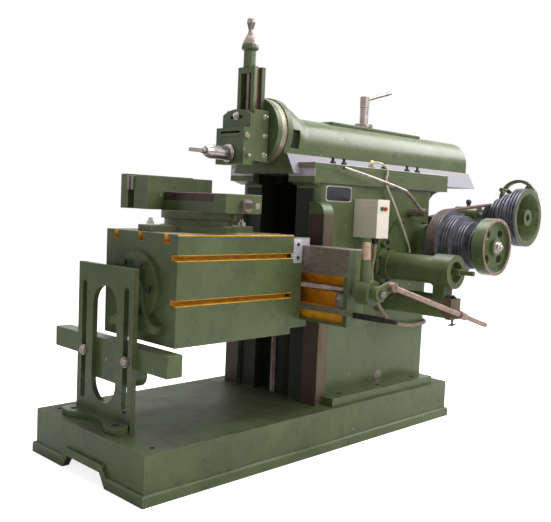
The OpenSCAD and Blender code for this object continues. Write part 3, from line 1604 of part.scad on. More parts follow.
// spring plunger knob that lifts the pawl
knob_r = 19;
knob_r1 = 15;
knob_h = 66;
knob_gap = 1;
module pawl_knob() {
  z = cross_z + pawl_post_h + knob_gap;
  color("#b79a86") union() {
    translate([cross_x, pawl_y, z]) cylinder(h = knob_h, r1 = knob_r, r2 = knob_r1);
    rod_z(cross_z + ratchet_r + pawl_r, z + over, cross_x, pawl_y, pawl_r);
  }
}

// feed rod from the ratchet to the crank, with its clamp sleeve
rod_run = 724;
rod_fall = 206;
sleeve_share = 0.69;
sleeve_r = 17;
sleeve_l = 46;
rod_plane = ratchet_y0 - slip / 2 - rod_eye_t / 2;
feed_y1 = rod_plane + feed_reach;
module feed_rod() {
  l = sqrt(rod_run * rod_run + rod_fall * rod_fall);
  color(steel) translate([cross_x + rod_arm_x, rod_plane, cross_z + rod_arm_z])
    rotate([0, 90 + atan(rod_fall / rod_run), 0]) difference() {
      union() {
        cylinder(h = l, r = rod_r);
        translate([0, 0, l * sleeve_share]) cylinder(h = sleeve_l, r = sleeve_r);
        rotate([90, 0, 0]) translate([0, 0, -rod_eye_t / 2]) cylinder(h = rod_eye_t - slip, r = rod_eye_r);
      }
      rotate([90, 0, 0]) translate([0, 0, -rod_eye_t]) cylinder(h = 2 * rod_eye_t, r = rod_pin_r + fit);
    }
}

// feed crank on the end of the bull gear shaft, with its block beside the rod sleeve
crank_disc_r = 52;
crank_disc_t = 25;
crank_front = 50;
crank_rear = 30;
crank_low = 49;
crank_high = 41;
crank_block_x0 = bull_x - crank_front;
crank_block_x1 = bull_x + crank_rear;
crank_block_z0 = bull_z - crank_low;
crank_block_z1 = bull_z + crank_high;
crank_gap = 3;
module feed_crank() {
  y1 = feed_y1 - slip - crank_disc_t;
  color(steel) difference() {
    union() {
      rod_y(y1, feed_y1 - slip, bull_x, bull_z, crank_disc_r);
      box(crank_block_x0, crank_block_x1, rod_plane + sleeve_r + crank_gap, y1 + over, crank_block_z0,
        crank_block_z1);
    }
    rod_y(feed_y1 - crank_seat - slip, feed_y1 + over, bull_x, bull_z, bull_shaft_r + fit);
  }
}

// squared shaft that sets the stroke
stroke_out = 85;
stroke_in = 95;
stroke_in_y = stroke_in - col_w / 2;
stroke_square_l = 62;
module stroke_shaft() {
  y0 = housing_y1 - stroke_out;
  color(steel) union() {
    rod_y(y0 + stroke_square_l, stroke_in_y, bull_x, stroke_z, stroke_shaft_r);
    translate([bull_x, y0 + stroke_square_l, stroke_z]) rotate([90, 0, 0]) rotate([0, 0, 45])
      cylinder(h = stroke_square_l, r = stroke_shaft_r * square_share, $fn = 4);
  }
}

// clutch lever beside the column
clutch_r = 8;
clutch_in = 186;
clutch_down = 109;
clutch_out = 73;
clutch_run = 591;
clutch_rise = 175;
clutch_hub_r = 20;
clutch_x = col_x1 - clutch_in;
clutch_z = col_top - clutch_down;
clutch_y = -col_w / 2 - clutch_out;
clutch_shares = [[1, 0.836, 1], [0.739, 0.918, 0.857], [0.503, 0.973, 0.714], [0.283, 1, 0.571], [0.228, 1,
  0.503],
  [0.096, 1, 0.217], [0, 1, 0]];
clutch_route = [for (s = clutch_shares)
  [clutch_x - s[0] * clutch_run, -col_w / 2 - s[1] * clutch_out, clutch_z + s[2] * clutch_rise]];
module clutch_lever() {
  color(steel) union() {
    sweep(clutch_route, clutch_r);
    rod_y(clutch_y - clutch_hub_r, -col_w / 2 - slip, clutch_x, clutch_z, clutch_hub_r);
  }
}

base();
column();
keeper_near();
keeper_far();
side_cover();
stroke_housing();
feed_bearing();
switch_box();
switch_cover();
oil_pipe();
conduit_hose();
support_plate();
frame_bolts();
shaft_bracket();
drive_belt();
rocker_shaft();
ram();
ram_cover();
ram_block();
clamp_post();
clamp_lever();
swivel_head();
tool_slide();
downfeed_screw();
downfeed_handle();
clapper_box();
clapper_pin();
clapper_block();
tool_post();
tool_screw();
cross_rail();
elevating_screw();
elevating_shaft();
saddle();
table();
table_shoe();
vise_base();
vise_bolts();
cross_screw();
ratchet_arm();
pawl_knob();
feed_rod();
feed_crank();
support_bar();
bull_gear();
crank_block();
drive_cone();
handwheel();
input_pinion();
rocker_arm();
upper_cone();
stroke_shaft();
clutch_lever();
start_button();
stop_button();
vise_body();
moving_jaw();
jaw_plate();
tension_wheel();
vise_screw();
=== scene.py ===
import json
import math
import bpy
import bmesh
import numpy as np
from mathutils import Matrix, Vector

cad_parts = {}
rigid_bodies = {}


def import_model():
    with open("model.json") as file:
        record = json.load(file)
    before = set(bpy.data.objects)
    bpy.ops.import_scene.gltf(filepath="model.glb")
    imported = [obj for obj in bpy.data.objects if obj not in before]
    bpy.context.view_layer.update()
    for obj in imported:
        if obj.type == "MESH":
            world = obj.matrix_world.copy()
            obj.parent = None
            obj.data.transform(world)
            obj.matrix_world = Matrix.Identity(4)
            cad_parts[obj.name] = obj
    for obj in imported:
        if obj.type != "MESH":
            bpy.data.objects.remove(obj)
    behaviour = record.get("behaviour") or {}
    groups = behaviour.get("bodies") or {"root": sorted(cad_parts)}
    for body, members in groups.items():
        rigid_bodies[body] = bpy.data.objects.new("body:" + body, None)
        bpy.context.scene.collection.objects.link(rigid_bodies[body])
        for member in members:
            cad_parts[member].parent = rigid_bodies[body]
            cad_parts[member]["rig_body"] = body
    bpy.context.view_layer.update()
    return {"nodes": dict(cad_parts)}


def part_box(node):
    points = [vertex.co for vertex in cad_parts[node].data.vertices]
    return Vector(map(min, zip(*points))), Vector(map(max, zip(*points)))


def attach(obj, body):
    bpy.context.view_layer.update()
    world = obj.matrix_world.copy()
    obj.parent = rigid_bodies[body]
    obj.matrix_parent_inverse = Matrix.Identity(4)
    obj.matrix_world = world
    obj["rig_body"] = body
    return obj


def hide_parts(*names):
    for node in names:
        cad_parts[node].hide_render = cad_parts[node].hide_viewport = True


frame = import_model()
nodes = frame["nodes"]
scene = bpy.context.scene
print("frame loaded:", len(nodes), "nodes")

# all lengths are metres; x runs from the tool to the rear, y from the operator to the far side, z up
front, near, rise, drop = (-1.0, 0.0, 0.0), (0.0, -1.0, 0.0), (0.0, 0.0, 1.0), (0.0, 0.0, -1.0)
alongX, alongY = (1.0, 0.0, 0.0), (0.0, 1.0, 0.0)


def boxOf(nodeName):
    # low corner, high corner and the middle between them, over all points of a solid
    low, high = (np.array(corner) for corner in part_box(nodeName))
    return {"low": low, "mid": (low + high) / 2, "high": high}


def spot(nodeName, *sides):
    # x, y and z: a side of the solid's box, a side plus a distance, a plain place, or None for an open end
    box = boxOf(nodeName)
    point = []
    for axis, side in enumerate(sides):
        if isinstance(side, str):
            side = (side, 0.0)
        point.append(float(box[side[0]][axis] + side[1]) if isinstance(side, tuple) else side)
    return tuple(point)


def addObject(name, data):
    # a new object in the scene
    thing = bpy.data.objects.new(name, data)
    scene.collection.objects.link(thing)
    return thing


# sockets of a mix node: first, second and result
mixSockets = {"RGBA": (6, 7, 2), "FLOAT": (2, 3, 0)}


def addNode(tree, kind, **values):
    # a node of that kind with its settings
    node = tree.nodes.new(kind)
    for key, value in values.items():
        setattr(node, key, value)
    return node


def feed(tree, socket, value):
    # a link where the value is a socket, a constant where it is a number or a colour
    if isinstance(value, bpy.types.NodeSocket):
        tree.links.new(value, socket)
    else:
        socket.default_value = value


def noiseOf(tree, vector, scale, detail, rough=0.5):
    # fractal noise with that many waves per metre
    node = addNode(tree, "ShaderNodeTexNoise")
    for name, value in (("Vector", vector), ("Scale", scale), ("Detail", detail), ("Roughness", rough)):
        feed(tree, node.inputs[name], value)
    return node.outputs["Fac"]


def rampOf(tree, value, span, reach=(0.0, 1.0)):
    # straight line that takes the span to the reach and holds still beyond both ends
    node = addNode(tree, "ShaderNodeMapRange")
    ends = zip(("From Min", "From Max", "To Min", "To Max"), (*span, *reach))
    for name, number in ends:
        node.inputs[name].default_value = number
    tree.links.new(value, node.inputs["Value"])
    return node.outputs["Result"]


def mathOf(tree, operation, *values):
    # one sum of sockets and numbers
    node = addNode(tree, "ShaderNodeMath", operation=operation)
    for socket, value in zip(node.inputs, values):
        feed(tree, socket, value)
    return node.outputs[0]


def mixOf(tree, share, first, second, kind="RGBA"):
    # first (1 - share) + second share
    node = addNode(tree, "ShaderNodeMix", data_type=kind)
    firstAt, secondAt, resultAt = mixSockets[kind]
    for socket, value in ((0, share), (firstAt, first), (secondAt, second)):
        feed(tree, node.inputs[socket], value)
    return node.outputs[resultAt]


# camera at the photograph's place, directions as unit rows, lens and sensor in millimetres
photoView = {
    "place": (-2.3678, -2.3600, 1.0221),
    "right": (0.70338, -0.70952, 0.04299),
    "up": (0.02250, 0.08267, 0.99632),
    "ahead": (0.71046, 0.69982, -0.07411),
    "lens": 49.13,
    "sensor": 36.0,
    "reach": 100.0,
}


def setCamera(view):
    # the camera's own axes are right, up and the opposite of ahead
    data = bpy.data.cameras.new("photoCamera")
    data.sensor_fit = "HORIZONTAL"
    data.sensor_width = view["sensor"]
    data.lens = view["lens"]
    data.clip_end = view["reach"]
    camera = addObject("photoCamera", data)
    turn = Matrix((view["right"], view["up"], tuple(-v for v in view["ahead"]))).transposed()
    camera.matrix_world = Matrix.Translation(view["place"]) @ turn.to_4x4()
    scene.camera = camera


setCamera(photoView)
scene.view_settings.view_transform = "Standard"

# soft studio light: a wide key high on the operator's side, a weak fill from the front, a broad top light
# and a high lamp at the rear that gives the ram's shoulder its sheen
studioLight = {
    "lamps": [
        {"name": "keyLamp", "place": (0.7, -4.6, 3.6), "aim": (0.1, 0.0, 0.8), "size": 3.6, "watt": 128},
        {"name": "fillLamp", "place": (-5.0, -0.6, 2.2), "aim": (-0.2, 0.0, 0.7), "size": 3.2, "watt": 5},
        {"name": "topLamp", "place": (0.9, 0.6, 5.0), "aim": (0.2, 0.0, 1.0), "size": 3.4, "watt": 190},
        {"name": "rimLamp", "place": (3.4, -1.2, 3.5), "aim": (0.3, -0.1, 1.2), "size": 2.8, "watt": 120},
    ],
    "white": (1.0, 1.0, 1.0, 1.0), "world": 0.2,
    "floorSize": 60.0, "floorColour": (0.9, 0.9, 0.89), "floorRough": 0.9, "floorGlow": 0.83,
}


def setLight(light):
    # each lamp looks from its place to its aim; the world is white to the eye and in gloss, else weak
    for lamp in light["lamps"]:
        data = bpy.data.lights.new(lamp["name"], "AREA")
        data.shape = "DISK"
        data.size = lamp["size"]
        data.energy = lamp["watt"]
        turn = (Vector(lamp["aim"]) - Vector(lamp["place"])).to_track_quat("-Z", "Y").to_matrix()
        addObject(lamp["name"], data).matrix_world = Matrix.Translation(lamp["place"]) @ turn.to_4x4()
    world = bpy.data.worlds.new("studioWorld")
    world.use_nodes = True
    tree = world.node_tree
    back = tree.nodes["Background"]
    back.inputs["Color"].default_value = light["white"]
    rays = addNode(tree, "ShaderNodeLightPath").outputs
    seen = mathOf(tree, "MAXIMUM", rays["Is Camera Ray"], rays["Is Glossy Ray"])
    feed(tree, back.inputs["Strength"], rampOf(tree, seen, (0.0, 1.0), (light["world"], 1.0)))
    scene.world = world


setLight(studioLight)
print("camera and", len(studioLight["lamps"]), "lamps set")


def srgb(r, g, b):
    # screen colour to linear light: v / 12.92 near black, ((v + 0.055) / 1.055) to the power 2.4 above it
    v = np.array([r, g, b]) / 255.0
    v = np.where(v <= 0.04045, v / 12.92, ((v + 0.055) / 1.055) ** 2.4)
    return tuple(float(x) for x in v) + (1.0,)


# finishes: two colours that a noise mixes, its scale in waves per metre, roughness range, metallic, fine
# grain and its bump, and stains as a third colour, waves per metre and the share of the surface they take
finishes = {
    "machinePaint": dict(light=(95, 106, 68), deep=(81, 91, 56), scale=5, rough=(0.24, 0.4), grain=210,
        bump=0.06, stain=((70, 78, 52), 16, 0.3), gloss=0.42, edge=(150, 152, 128), edgeWide=0.004,
        chip=(176, 176, 158), chipScale=46),
    # deck top: darker and rougher paint, partly oily dirt and partly painted shade from the table above
    "deckOilAndShade": dict(light=(92, 102, 66), deep=(66, 72, 46), scale=3.4, rough=(0.46, 0.66), grain=210,
        bump=0.06, stain=((48, 50, 34), 6, 0.42)),
    "scrapedSteel": dict(light=(158, 150, 140), deep=(116, 108, 100), scale=30, rough=(0.3, 0.5),
        metal=0.6, grain=520, bump=0.05, streak=(1.0, 1.0, 14.0), stain=((92, 80, 66), 22, 0.26)),
    "groundSteel": dict(light=(206, 203, 210), deep=(178, 174, 182), scale=24, rough=(0.3, 0.46),
        metal=0.35, grain=480, bump=0.03, streak=(0.25, 1.0, 6.0), stain=((170, 160, 160), 14, 0.2)),
    "slideSteel": dict(light=(150, 147, 156), deep=(126, 123, 132), scale=24, rough=(0.48, 0.64),
        metal=0.1, grain=480, bump=0.03, streak=(0.25, 1.0, 6.0), stain=((112, 104, 106), 14, 0.2)),
    # dark oily steel; on the column's way fronts it is also painted shade
    "darkOilAndShade": dict(light=(76, 60, 48), deep=(52, 41, 32), scale=14, rough=(0.34, 0.52), metal=0.25,
        grain=420, bump=0.05, streak=(1.0, 1.0, 0.12), stain=((80, 64, 50), 12, 0.25)),
    "wayBrown": dict(light=(116, 102, 82), deep=(84, 72, 56), scale=18, rough=(0.35, 0.55), metal=0.45,
        grain=420, bump=0.05, streak=(1.0, 1.0, 0.12), stain=((76, 58, 48), 20, 0.3)),
    "roundSteel": dict(light=(176, 166, 158), deep=(126, 114, 106), scale=26, rough=(0.24, 0.44),
        metal=0.8, grain=600, bump=0.03, stain=((104, 82, 66), 40, 0.25)),
    "tubeCream": dict(light=(206, 202, 184), deep=(176, 170, 148), scale=30, rough=(0.3, 0.45), metal=0.2,
        grain=500, bump=0.02, stain=((140, 130, 104), 50, 0.2)),
    "rodRust": dict(light=(178, 152, 142), deep=(134, 106, 96), scale=34, rough=(0.32, 0.5), metal=0.6,
        grain=600, bump=0.04, stain=((106, 74, 60), 46, 0.32)),
    "bluedSteel": dict(light=(58, 56, 54), deep=(36, 34, 34), scale=40, rough=(0.35, 0.55), metal=0.5,
        grain=500, bump=0.04, stain=((92, 84, 74), 60, 0.22)),
    "boltChrome": dict(light=(220, 216, 208), deep=(176, 170, 160), scale=70, rough=(0.2, 0.36),
        metal=0.75, grain=800, bump=0.02, stain=((128, 116, 96), 90, 0.22)),
    "pulleyIron": dict(light=(126, 126, 134), deep=(82, 82, 90), scale=22, rough=(0.28, 0.46), metal=0.35,
        grain=420, bump=0.05, stain=((128, 126, 132), 30, 0.2)),
    "beltRubber": dict(light=(112, 86, 76), deep=(80, 60, 54), scale=34, rough=(0.6, 0.8), grain=800,
        bump=0.12, stain=((66, 50, 44), 60, 0.3)),
    "hosePlastic": dict(light=(150, 130, 112), deep=(112, 94, 80), scale=30, rough=(0.45, 0.65),
        grain=500, bump=0.06, stain=((84, 68, 56), 36, 0.25)),
    "switchEnamel": dict(light=(250, 242, 228), deep=(238, 228, 212), scale=12, rough=(0.28, 0.42),
        grain=300, bump=0.03, stain=((170, 156, 140), 24, 0.2)),
    "buttonGreen": dict(light=(26, 110, 62), deep=(16, 84, 46), scale=60, rough=(0.22, 0.34), grain=600,
        bump=0.01),
    "buttonRed": dict(light=(200, 46, 52), deep=(166, 30, 36), scale=60, rough=(0.22, 0.34), grain=600,
        bump=0.01),
    "knobBrass": dict(light=(208, 180, 160), deep=(166, 136, 116), scale=40, rough=(0.3, 0.45), metal=0.55,
        grain=500, bump=0.03, stain=((124, 92, 70), 50, 0.25)),
    "fittingBrass": dict(light=(214, 186, 110), deep=(172, 140, 70), scale=60, rough=(0.25, 0.4),
        metal=0.75, grain=700, bump=0.02, stain=((120, 94, 44), 80, 0.2)),
    "slotAmber": dict(light=(255, 186, 44), deep=(232, 150, 22), scale=16, rough=(0.36, 0.55), grain=300,
        bump=0.06, stain=((150, 88, 16), 26, 0.26)),
    "slotYellow": dict(light=(250, 190, 34), deep=(214, 140, 10), scale=16, rough=(0.36, 0.55),
        grain=300, bump=0.06, stain=((164, 88, 6), 26, 0.26)),
    # painted shade: a near-black colour laid into recesses, pockets and gaps where shade falls
    "paintedCavityShade": dict(light=(40, 42, 30), deep=(24, 26, 18), scale=9, rough=(0.55, 0.75), grain=240,
        bump=0.08),
    "plateRim": dict(light=(190, 190, 188), deep=(160, 158, 156), scale=24, rough=(0.3, 0.44), metal=0.5,
        grain=700, bump=0.02, streak=(9.0, 1.0, 1.0)),
    "plateBlack": dict(light=(46, 42, 50), deep=(32, 30, 36), scale=36, rough=(0.3, 0.46), metal=0.1,
        grain=500, bump=0.02, stain=((66, 62, 66), 40, 0.2)),
    "dialSteel": dict(light=(178, 166, 146), deep=(146, 134, 112), scale=30, rough=(0.3, 0.44), metal=0.45,
        grain=600, bump=0.02, stain=((110, 100, 78), 30, 0.25)),
    "toolSteel": dict(light=(196, 190, 187), deep=(164, 156, 152), scale=24, rough=(0.14, 0.3), metal=0.9,
        grain=700, bump=0.004, stain=((120, 100, 86), 18, 0.06)),
    "inkBlack": dict(light=(34, 34, 36), deep=(22, 22, 24), scale=50, rough=(0.4, 0.55), grain=500,
        bump=0.01),
}

# where the noises switch over, shared by all finishes
noiseLook = {"detail": 6.0, "rough": 0.62, "colourSpan": (0.32, 0.68), "glossSpan": (0.3, 0.7),
             "spotDetail": 8.0, "spotRough": 0.7, "spotSpan": (0.7, 0.86), "spotSlope": 0.6, "spotMost": 0.75,
             "grainDetail": 3.0, "bumpHeight": 0.002, "gloss": 0.5}
# worn edges and chips: how far the edge normal turns, patches along the edge, and a few bare flecks
wearLook = {"samples": 4, "edgeSpan": (0.985, 0.86), "patchScale": 34.0, "patchDetail": 5.0,
            "patchSpan": (0.4, 0.62), "patchMost": 0.7, "chipDetail": 2.0, "chipSpan": (0.745, 0.77),
            "chipMost": 0.8}


def finishSockets(tree, coord, finish):
    # colour and roughness of one finish: a slow noise mixes two colours and moves the gloss
    look = noiseLook
    vector = coord
    if "streak" in finish:
        stretch = addNode(tree, "ShaderNodeMapping")
        stretch.inputs["Scale"].default_value = finish["streak"]
        tree.links.new(coord, stretch.inputs["Vector"])
        vector = stretch.outputs["Vector"]
    slow = noiseOf(tree, vector, finish["scale"], look["detail"], look["rough"])
    share = rampOf(tree, slow, look["colourSpan"])
    colour = mixOf(tree, share, srgb(*finish["deep"]), srgb(*finish["light"]))
    rough = rampOf(tree, slow, look["glossSpan"], finish["rough"])
    if "stain" not in finish:
        return colour, rough
    # stains and worn spots where a second noise is high
    stainColour, stainScale, stainShare = finish["stain"]
    spots = noiseOf(tree, vector, stainScale, look["spotDetail"], look["spotRough"])
    span = [end - look["spotSlope"] * stainShare for end in look["spotSpan"]]
    stain = rampOf(tree, spots, span, (0.0, look["spotMost"]))
    return mixOf(tree, stain, colour, srgb(*stainColour)), rough


# stands for the open side of a box
farAway = 50.0


def boxMask(tree, axes, low, high):
    # one inside the box, else zero: the product over the axes of |p - middle| <= half; None is an open side
    total = None
    for axis in range(3):
        if low[axis] is None and high[axis] is None:
            continue
        a = -farAway if low[axis] is None else low[axis]
        b = farAway if high[axis] is None else high[axis]
        test = mathOf(tree, "COMPARE", axes.outputs[axis], (a + b) / 2, (b - a) / 2)
        total = test if total is None else mathOf(tree, "MULTIPLY", total, test)
    return total


def wornEdges(tree, colour, coord, finish):
    # the paint pales where the normal of a rounded edge leaves the face's own normal, broken up by a noise
    look = wearLook
    bend = addNode(tree, "ShaderNodeBevel", samples=look["samples"])
    bend.inputs["Radius"].default_value = finish["edgeWide"]
    own = addNode(tree, "ShaderNodeNewGeometry")
    level = addNode(tree, "ShaderNodeVectorMath", operation="DOT_PRODUCT")
    tree.links.new(bend.outputs["Normal"], level.inputs[0])
    tree.links.new(own.outputs["Normal"], level.inputs[1])
    worn = rampOf(tree, level.outputs["Value"], look["edgeSpan"])
    patch = noiseOf(tree, coord, look["patchScale"], look["patchDetail"])
    broken = rampOf(tree, patch, look["patchSpan"], (0.0, look["patchMost"]))
    paled = mixOf(tree, mathOf(tree, "MULTIPLY", worn, broken), colour, srgb(*finish["edge"]))
    chips = noiseOf(tree, coord, finish["chipScale"], look["chipDetail"])
    bare = rampOf(tree, chips, look["chipSpan"], (0.0, look["chipMost"]))
    return mixOf(tree, bare, paled, srgb(*finish["chip"]))


materialStore = {}


def makeMaterial(name, finishName, nodeName=None, zones=()):
    # a base finish, with other finishes laid over it in boxes of the frame
    if name in materialStore:
        return materialStore[name]
    base = finishes[finishName]
    material = bpy.data.materials.new(name)
    material.use_nodes = True
    tree = material.node_tree
    shader = tree.nodes["Principled BSDF"]
    coord = addNode(tree, "ShaderNodeTexCoord").outputs["Object"]
    colour, rough = finishSockets(tree, coord, base)
    metal = base.get("metal", 0.0)
    if zones:
        axes = addNode(tree, "ShaderNodeSeparateXYZ")
        tree.links.new(coord, axes.inputs[0])
    made = {}
    for area in zones:
        mask = boxMask(tree, axes, spot(nodeName, *area["low"]), spot(nodeName, *area["high"]))
        other = finishes[area["finish"]]
        if area["finish"] not in made:
            made[area["finish"]] = finishSockets(tree, coord, other)
        zoneColour, zoneRough = made[area["finish"]]
        colour = mixOf(tree, mask, colour, zoneColour)
        rough = mixOf(tree, mask, rough, zoneRough, "FLOAT")
        metal = mixOf(tree, mask, metal, other.get("metal", 0.0), "FLOAT")
    if "edge" in base:
        colour = wornEdges(tree, colour, coord, base)
    bump = addNode(tree, "ShaderNodeBump")
    bump.inputs["Strength"].default_value = base["bump"]
    bump.inputs["Distance"].default_value = noiseLook["bumpHeight"]
    tree.links.new(noiseOf(tree, coord, base["grain"], noiseLook["grainDetail"]), bump.inputs["Height"])
    for socket, value in (("Base Color", colour), ("Roughness", rough), ("Metallic", metal),
                          ("Specular IOR Level", base.get("gloss", noiseLook["gloss"])),
                          ("Normal", bump.outputs["Normal"])):
        feed(tree, shader.inputs[socket], value)
    materialStore[name] = material
    return material


anywhere = (None, None, None)


def zone(finish, low=anywhere, high=anywhere):
    # a box of the frame, its corners given as for spot
    return {"finish": finish, "low": low, "high": high}


def bothSides(finish, low, high):
    # the box and its mirror image: y changes sign, so its two ends change places
    far = zone(finish, (low[0], -high[1], low[2]), (high[0], -low[1], high[2]))
    return [zone(finish, low, high), far]


# T slots across the table: middles and half widths across, heights of floor, head and mouth
tableSlots = {"middles": (-0.2131, -0.056, 0.1011), "head": 0.0161, "neck": 0.0105,
              "floor": 0.8708, "headTop": 0.8852, "mouth": ("high", 0.0005)}


def slotZones(slots):
    # for each slot a wide box for the head and a narrow one for the neck
    zones = []
    for half, top in ((slots["head"], slots["headTop"]), (slots["neck"], slots["mouth"])):
        zones += [zone("slotYellow", (None, y - half, slots["floor"]), (None, y + half, top))
                  for y in slots["middles"]]
    return zones


keeperZones = [
    zone("groundSteel", low=(None, None, ("high", -0.0012))),
    zone("scrapedSteel", high=(("low", 0.0015), None, None)),
]
# solids in one finish throughout
plainNodes = {
    "machinePaint": ["side_cover", "stroke_housing", "feed_bearing", "ram_cover", "tool_slide",
                     "downfeed_screw", "clapper_block", "table_shoe", "ratchet_arm", "support_bar",
                     "handwheel", "rocker_arm", "stroke_shaft", "tension_wheel"],
    "roundSteel": ["rocker_shaft", "ram_block", "clamp_post", "clamp_lever", "clapper_pin", "tool_screw",
                   "elevating_screw", "cross_screw", "bull_gear", "crank_block", "input_pinion",
                   "clutch_lever", "vise_screw"],
    "switchEnamel": ["switch_box", "switch_cover"],
    "bluedSteel": ["frame_bolts", "elevating_shaft"],
    "tubeCream": ["oil_pipe"], "hosePlastic": ["conduit_hose"], "beltRubber": ["drive_belt"],
    "toolSteel": ["tool_post"], "boltChrome": ["vise_bolts"], "knobBrass": ["pawl_knob"],
    "rodRust": ["feed_rod"], "wayBrown": ["feed_crank"], "pulleyIron": ["drive_cone"],
    "buttonGreen": ["start_button"], "buttonRed": ["stop_button"], "scrapedSteel": ["jaw_plate"],
}
# solids with bare or coloured zones by place, and painted shade in recesses and openings
zonedNodes = {
    "base": ("machinePaint", [
        # deck top darkened: oily dirt, and painted shade under the table
        zone("deckOilAndShade", (("low", 0.012), ("low", 0.0105), ("high", -0.0008)),
             (("high", -0.012), ("high", -0.0105), None)),
    ]),
    "column": ("machinePaint", [
        # painted shade on the recessed front wall between the ways
        zone("paintedCavityShade", (0.0281, -0.2045, 0.178), (0.0315, 0.2045, 1.1)),
        # way fronts darker than their sides: oil, and painted shade on the faces turned from the key lamp
        zone("darkOilAndShade", (None, -0.2901, ("low", 0.001)), (0.0135, 0.2901, 0.992)),
        *bothSides("wayBrown", (0.0135, -0.2901, ("low", 0.001)), (0.0725, -0.2885, 0.99)),
        # painted shade through the channel and the inside of the column
        zone("paintedCavityShade", (0.0106, -0.1101, "low"), (0.86, 0.1101, 1.1565)),
        zone("groundSteel", (-0.03, -0.19, 1.1575), (1.0, 0.19, 1.182)),
        zone("groundSteel", (None, -0.2621, 1.15), (("low", 0.0015), 0.2621, None)),
    ]),
    "keeper_near": ("machinePaint", keeperZones),
    "keeper_far": ("machinePaint", keeperZones),
    "support_plate": ("machinePaint", [zone("wayBrown", (None, None, 0.21), (-0.8085, -0.1225, 0.766))]),
    "shaft_bracket": ("machinePaint", [zone("scrapedSteel", (0.95, None, 1.0405), (1.46, None, 1.0435))]),
    "ram": ("machinePaint", [
        *bothSides("slideSteel", (("low", 0.0005), -0.19, 1.1579), (None, -0.1412, 1.2415)),
        # painted shade in the ram's neck pockets
        *bothSides("paintedCavityShade", (-0.0435, -0.141, 1.268), (0.0125, -0.1, 1.344)),
    ]),
    "swivel_head": ("machinePaint", [
        zone("dialSteel", (("high", -0.0295), None, None), (("high", -0.0005), None, None)),
        *bothSides("wayBrown", (-0.182, -0.0505, 1.4), (-0.1495, -0.0345, 1.5945)),
    ]),
    "downfeed_handle": ("roundSteel", [zone("machinePaint", high=(None, None, 1.688))]),
    # painted shade in the gap above the clapper block
    "clapper_box": ("machinePaint", [zone("paintedCavityShade", (-0.238, -0.05, 1.34), (-0.22, 0.05, 1.398))]),
    "cross_rail": ("machinePaint", [
        zone("slotAmber", (("low", 0.0015), -0.4951, 0.6259), (-0.0249, 0.4951, 0.7521)),
        zone("slotAmber", (("low", 0.0015), -0.4951, 0.565), (-0.0695, 0.4951, 0.601)),
        zone("scrapedSteel", (None, ("low", 0.0005), 0.7525), (("low", 0.0014), ("high", -0.0005), 0.8605)),
        zone("scrapedSteel", (None, ("low", 0.0005), 0.602), (("low", 0.0014), ("high", -0.0005), 0.6255)),
        zone("scrapedSteel", low=(None, None, ("high", -0.0035))),
    ]),
    "saddle": ("machinePaint", [
        zone("scrapedSteel", low=(None, None, 0.8613)),
        zone("groundSteel", (None, None, 0.8), (None, ("low", 0.0035), None)),
    ]),
    "table": ("machinePaint", [
        zone("scrapedSteel", low=(None, None, ("high", -0.0014))),
        *slotZones(tableSlots),
        zone("slotYellow", (None, None, 0.8087), (None, ("low", 0.0341), 0.8316)),
        zone("slotYellow", (None, None, 0.6487), (None, ("low", 0.0341), 0.6716)),
        zone("slotYellow", (None, None, ("high", -0.0058)), (None, ("low", 0.003), ("high", -0.0014))),
    ]),
    "vise_base": ("machinePaint", [
        zone("scrapedSteel", (None, -0.0965, 0.9265), (-0.625, -0.0155, 0.9315)),
        zone("scrapedSteel", (-0.315, -0.0965, 0.9265), (None, -0.0155, 0.9315)),
    ]),
    "upper_cone": ("pulleyIron", [
        zone("machinePaint", (("mid", -0.0805), None, ("mid", -0.0805)),
             (("mid", 0.0805), -0.4945, ("mid", 0.0805))),
    ]),
    "vise_body": ("machinePaint", [
        zone("darkOilAndShade", (-0.5605, -0.25, 1.024), (-0.556, 0.179, 1.0545)),
        zone("darkOilAndShade", (-0.403, -0.25, 1.024), (-0.3985, 0.179, 1.0545)),
        zone("scrapedSteel", (None, -0.45, 1.0545), (None, 0.17, 1.0565)),
    ]),
    "moving_jaw": ("machinePaint", [
        zone("scrapedSteel", (None, ("high", -0.0159), 1.059), (None, ("high", 0.001), ("high", 0.001))),
    ]),
}


def dress(nodeName, material):
    # the solid's slots give way to one material
    slots = nodes[nodeName].data.materials
    slots.clear()
    slots.append(material)


for finishName, nodeNames in plainNodes.items():
    for nodeName in nodeNames:
        dress(nodeName, makeMaterial(finishName, finishName))
for nodeName, (finishName, zones) in zonedNodes.items():
    dress(nodeName, makeMaterial(nodeName + "Finish", finishName, nodeName, zones))
print("finishes on", sum(map(len, plainNodes.values())) + len(zonedNodes), "solids")

# castings get rounded edges: a merged copy of the solid with a bevel of this width stands for it
castings = {
    "base": 0.007, "column": 0.006, "keeper_near": 0.002, "keeper_far": 0.002, "side_cover": 0.004,
    "stroke_housing": 0.005, "feed_bearing": 0.004, "switch_box": 0.004, "switch_cover": 0.007,
    "support_plate": 0.004, "shaft_bracket": 0.005, "ram": 0.005, "ram_cover": 0.003, "swivel_head": 0.002,
    "tool_slide": 0.003, "clapper_box": 0.003, "clapper_block": 0.002, "cross_rail": 0.003, "saddle": 0.004,
    "table": 0.002, "table_shoe": 0.005, "support_bar": 0.005, "vise_base": 0.004, "vise_body": 0.004,
    "moving_jaw": 0.004, "jaw_plate": 0.001, "ratchet_arm": 0.003, "handwheel": 0.004, "tension_wheel": 0.003,
    "tool_post": 0.002, "clamp_post": 0.002, "feed_crank": 0.003, "clamp_lever": 0.002,
}
# welding distance, and in degrees what counts as flat and as an edge; weight of wide faces in the shading
castingLook = {"weld": 2e-5, "flat": 0.8, "edge": 32.0, "segments": 2, "faceWeight": 80}


def shadeSmooth(work, mesh):
    # the worked mesh goes back with every face smooth
    for face in work.faces:
        face.smooth = True
    work.to_mesh(mesh)
    work.free()


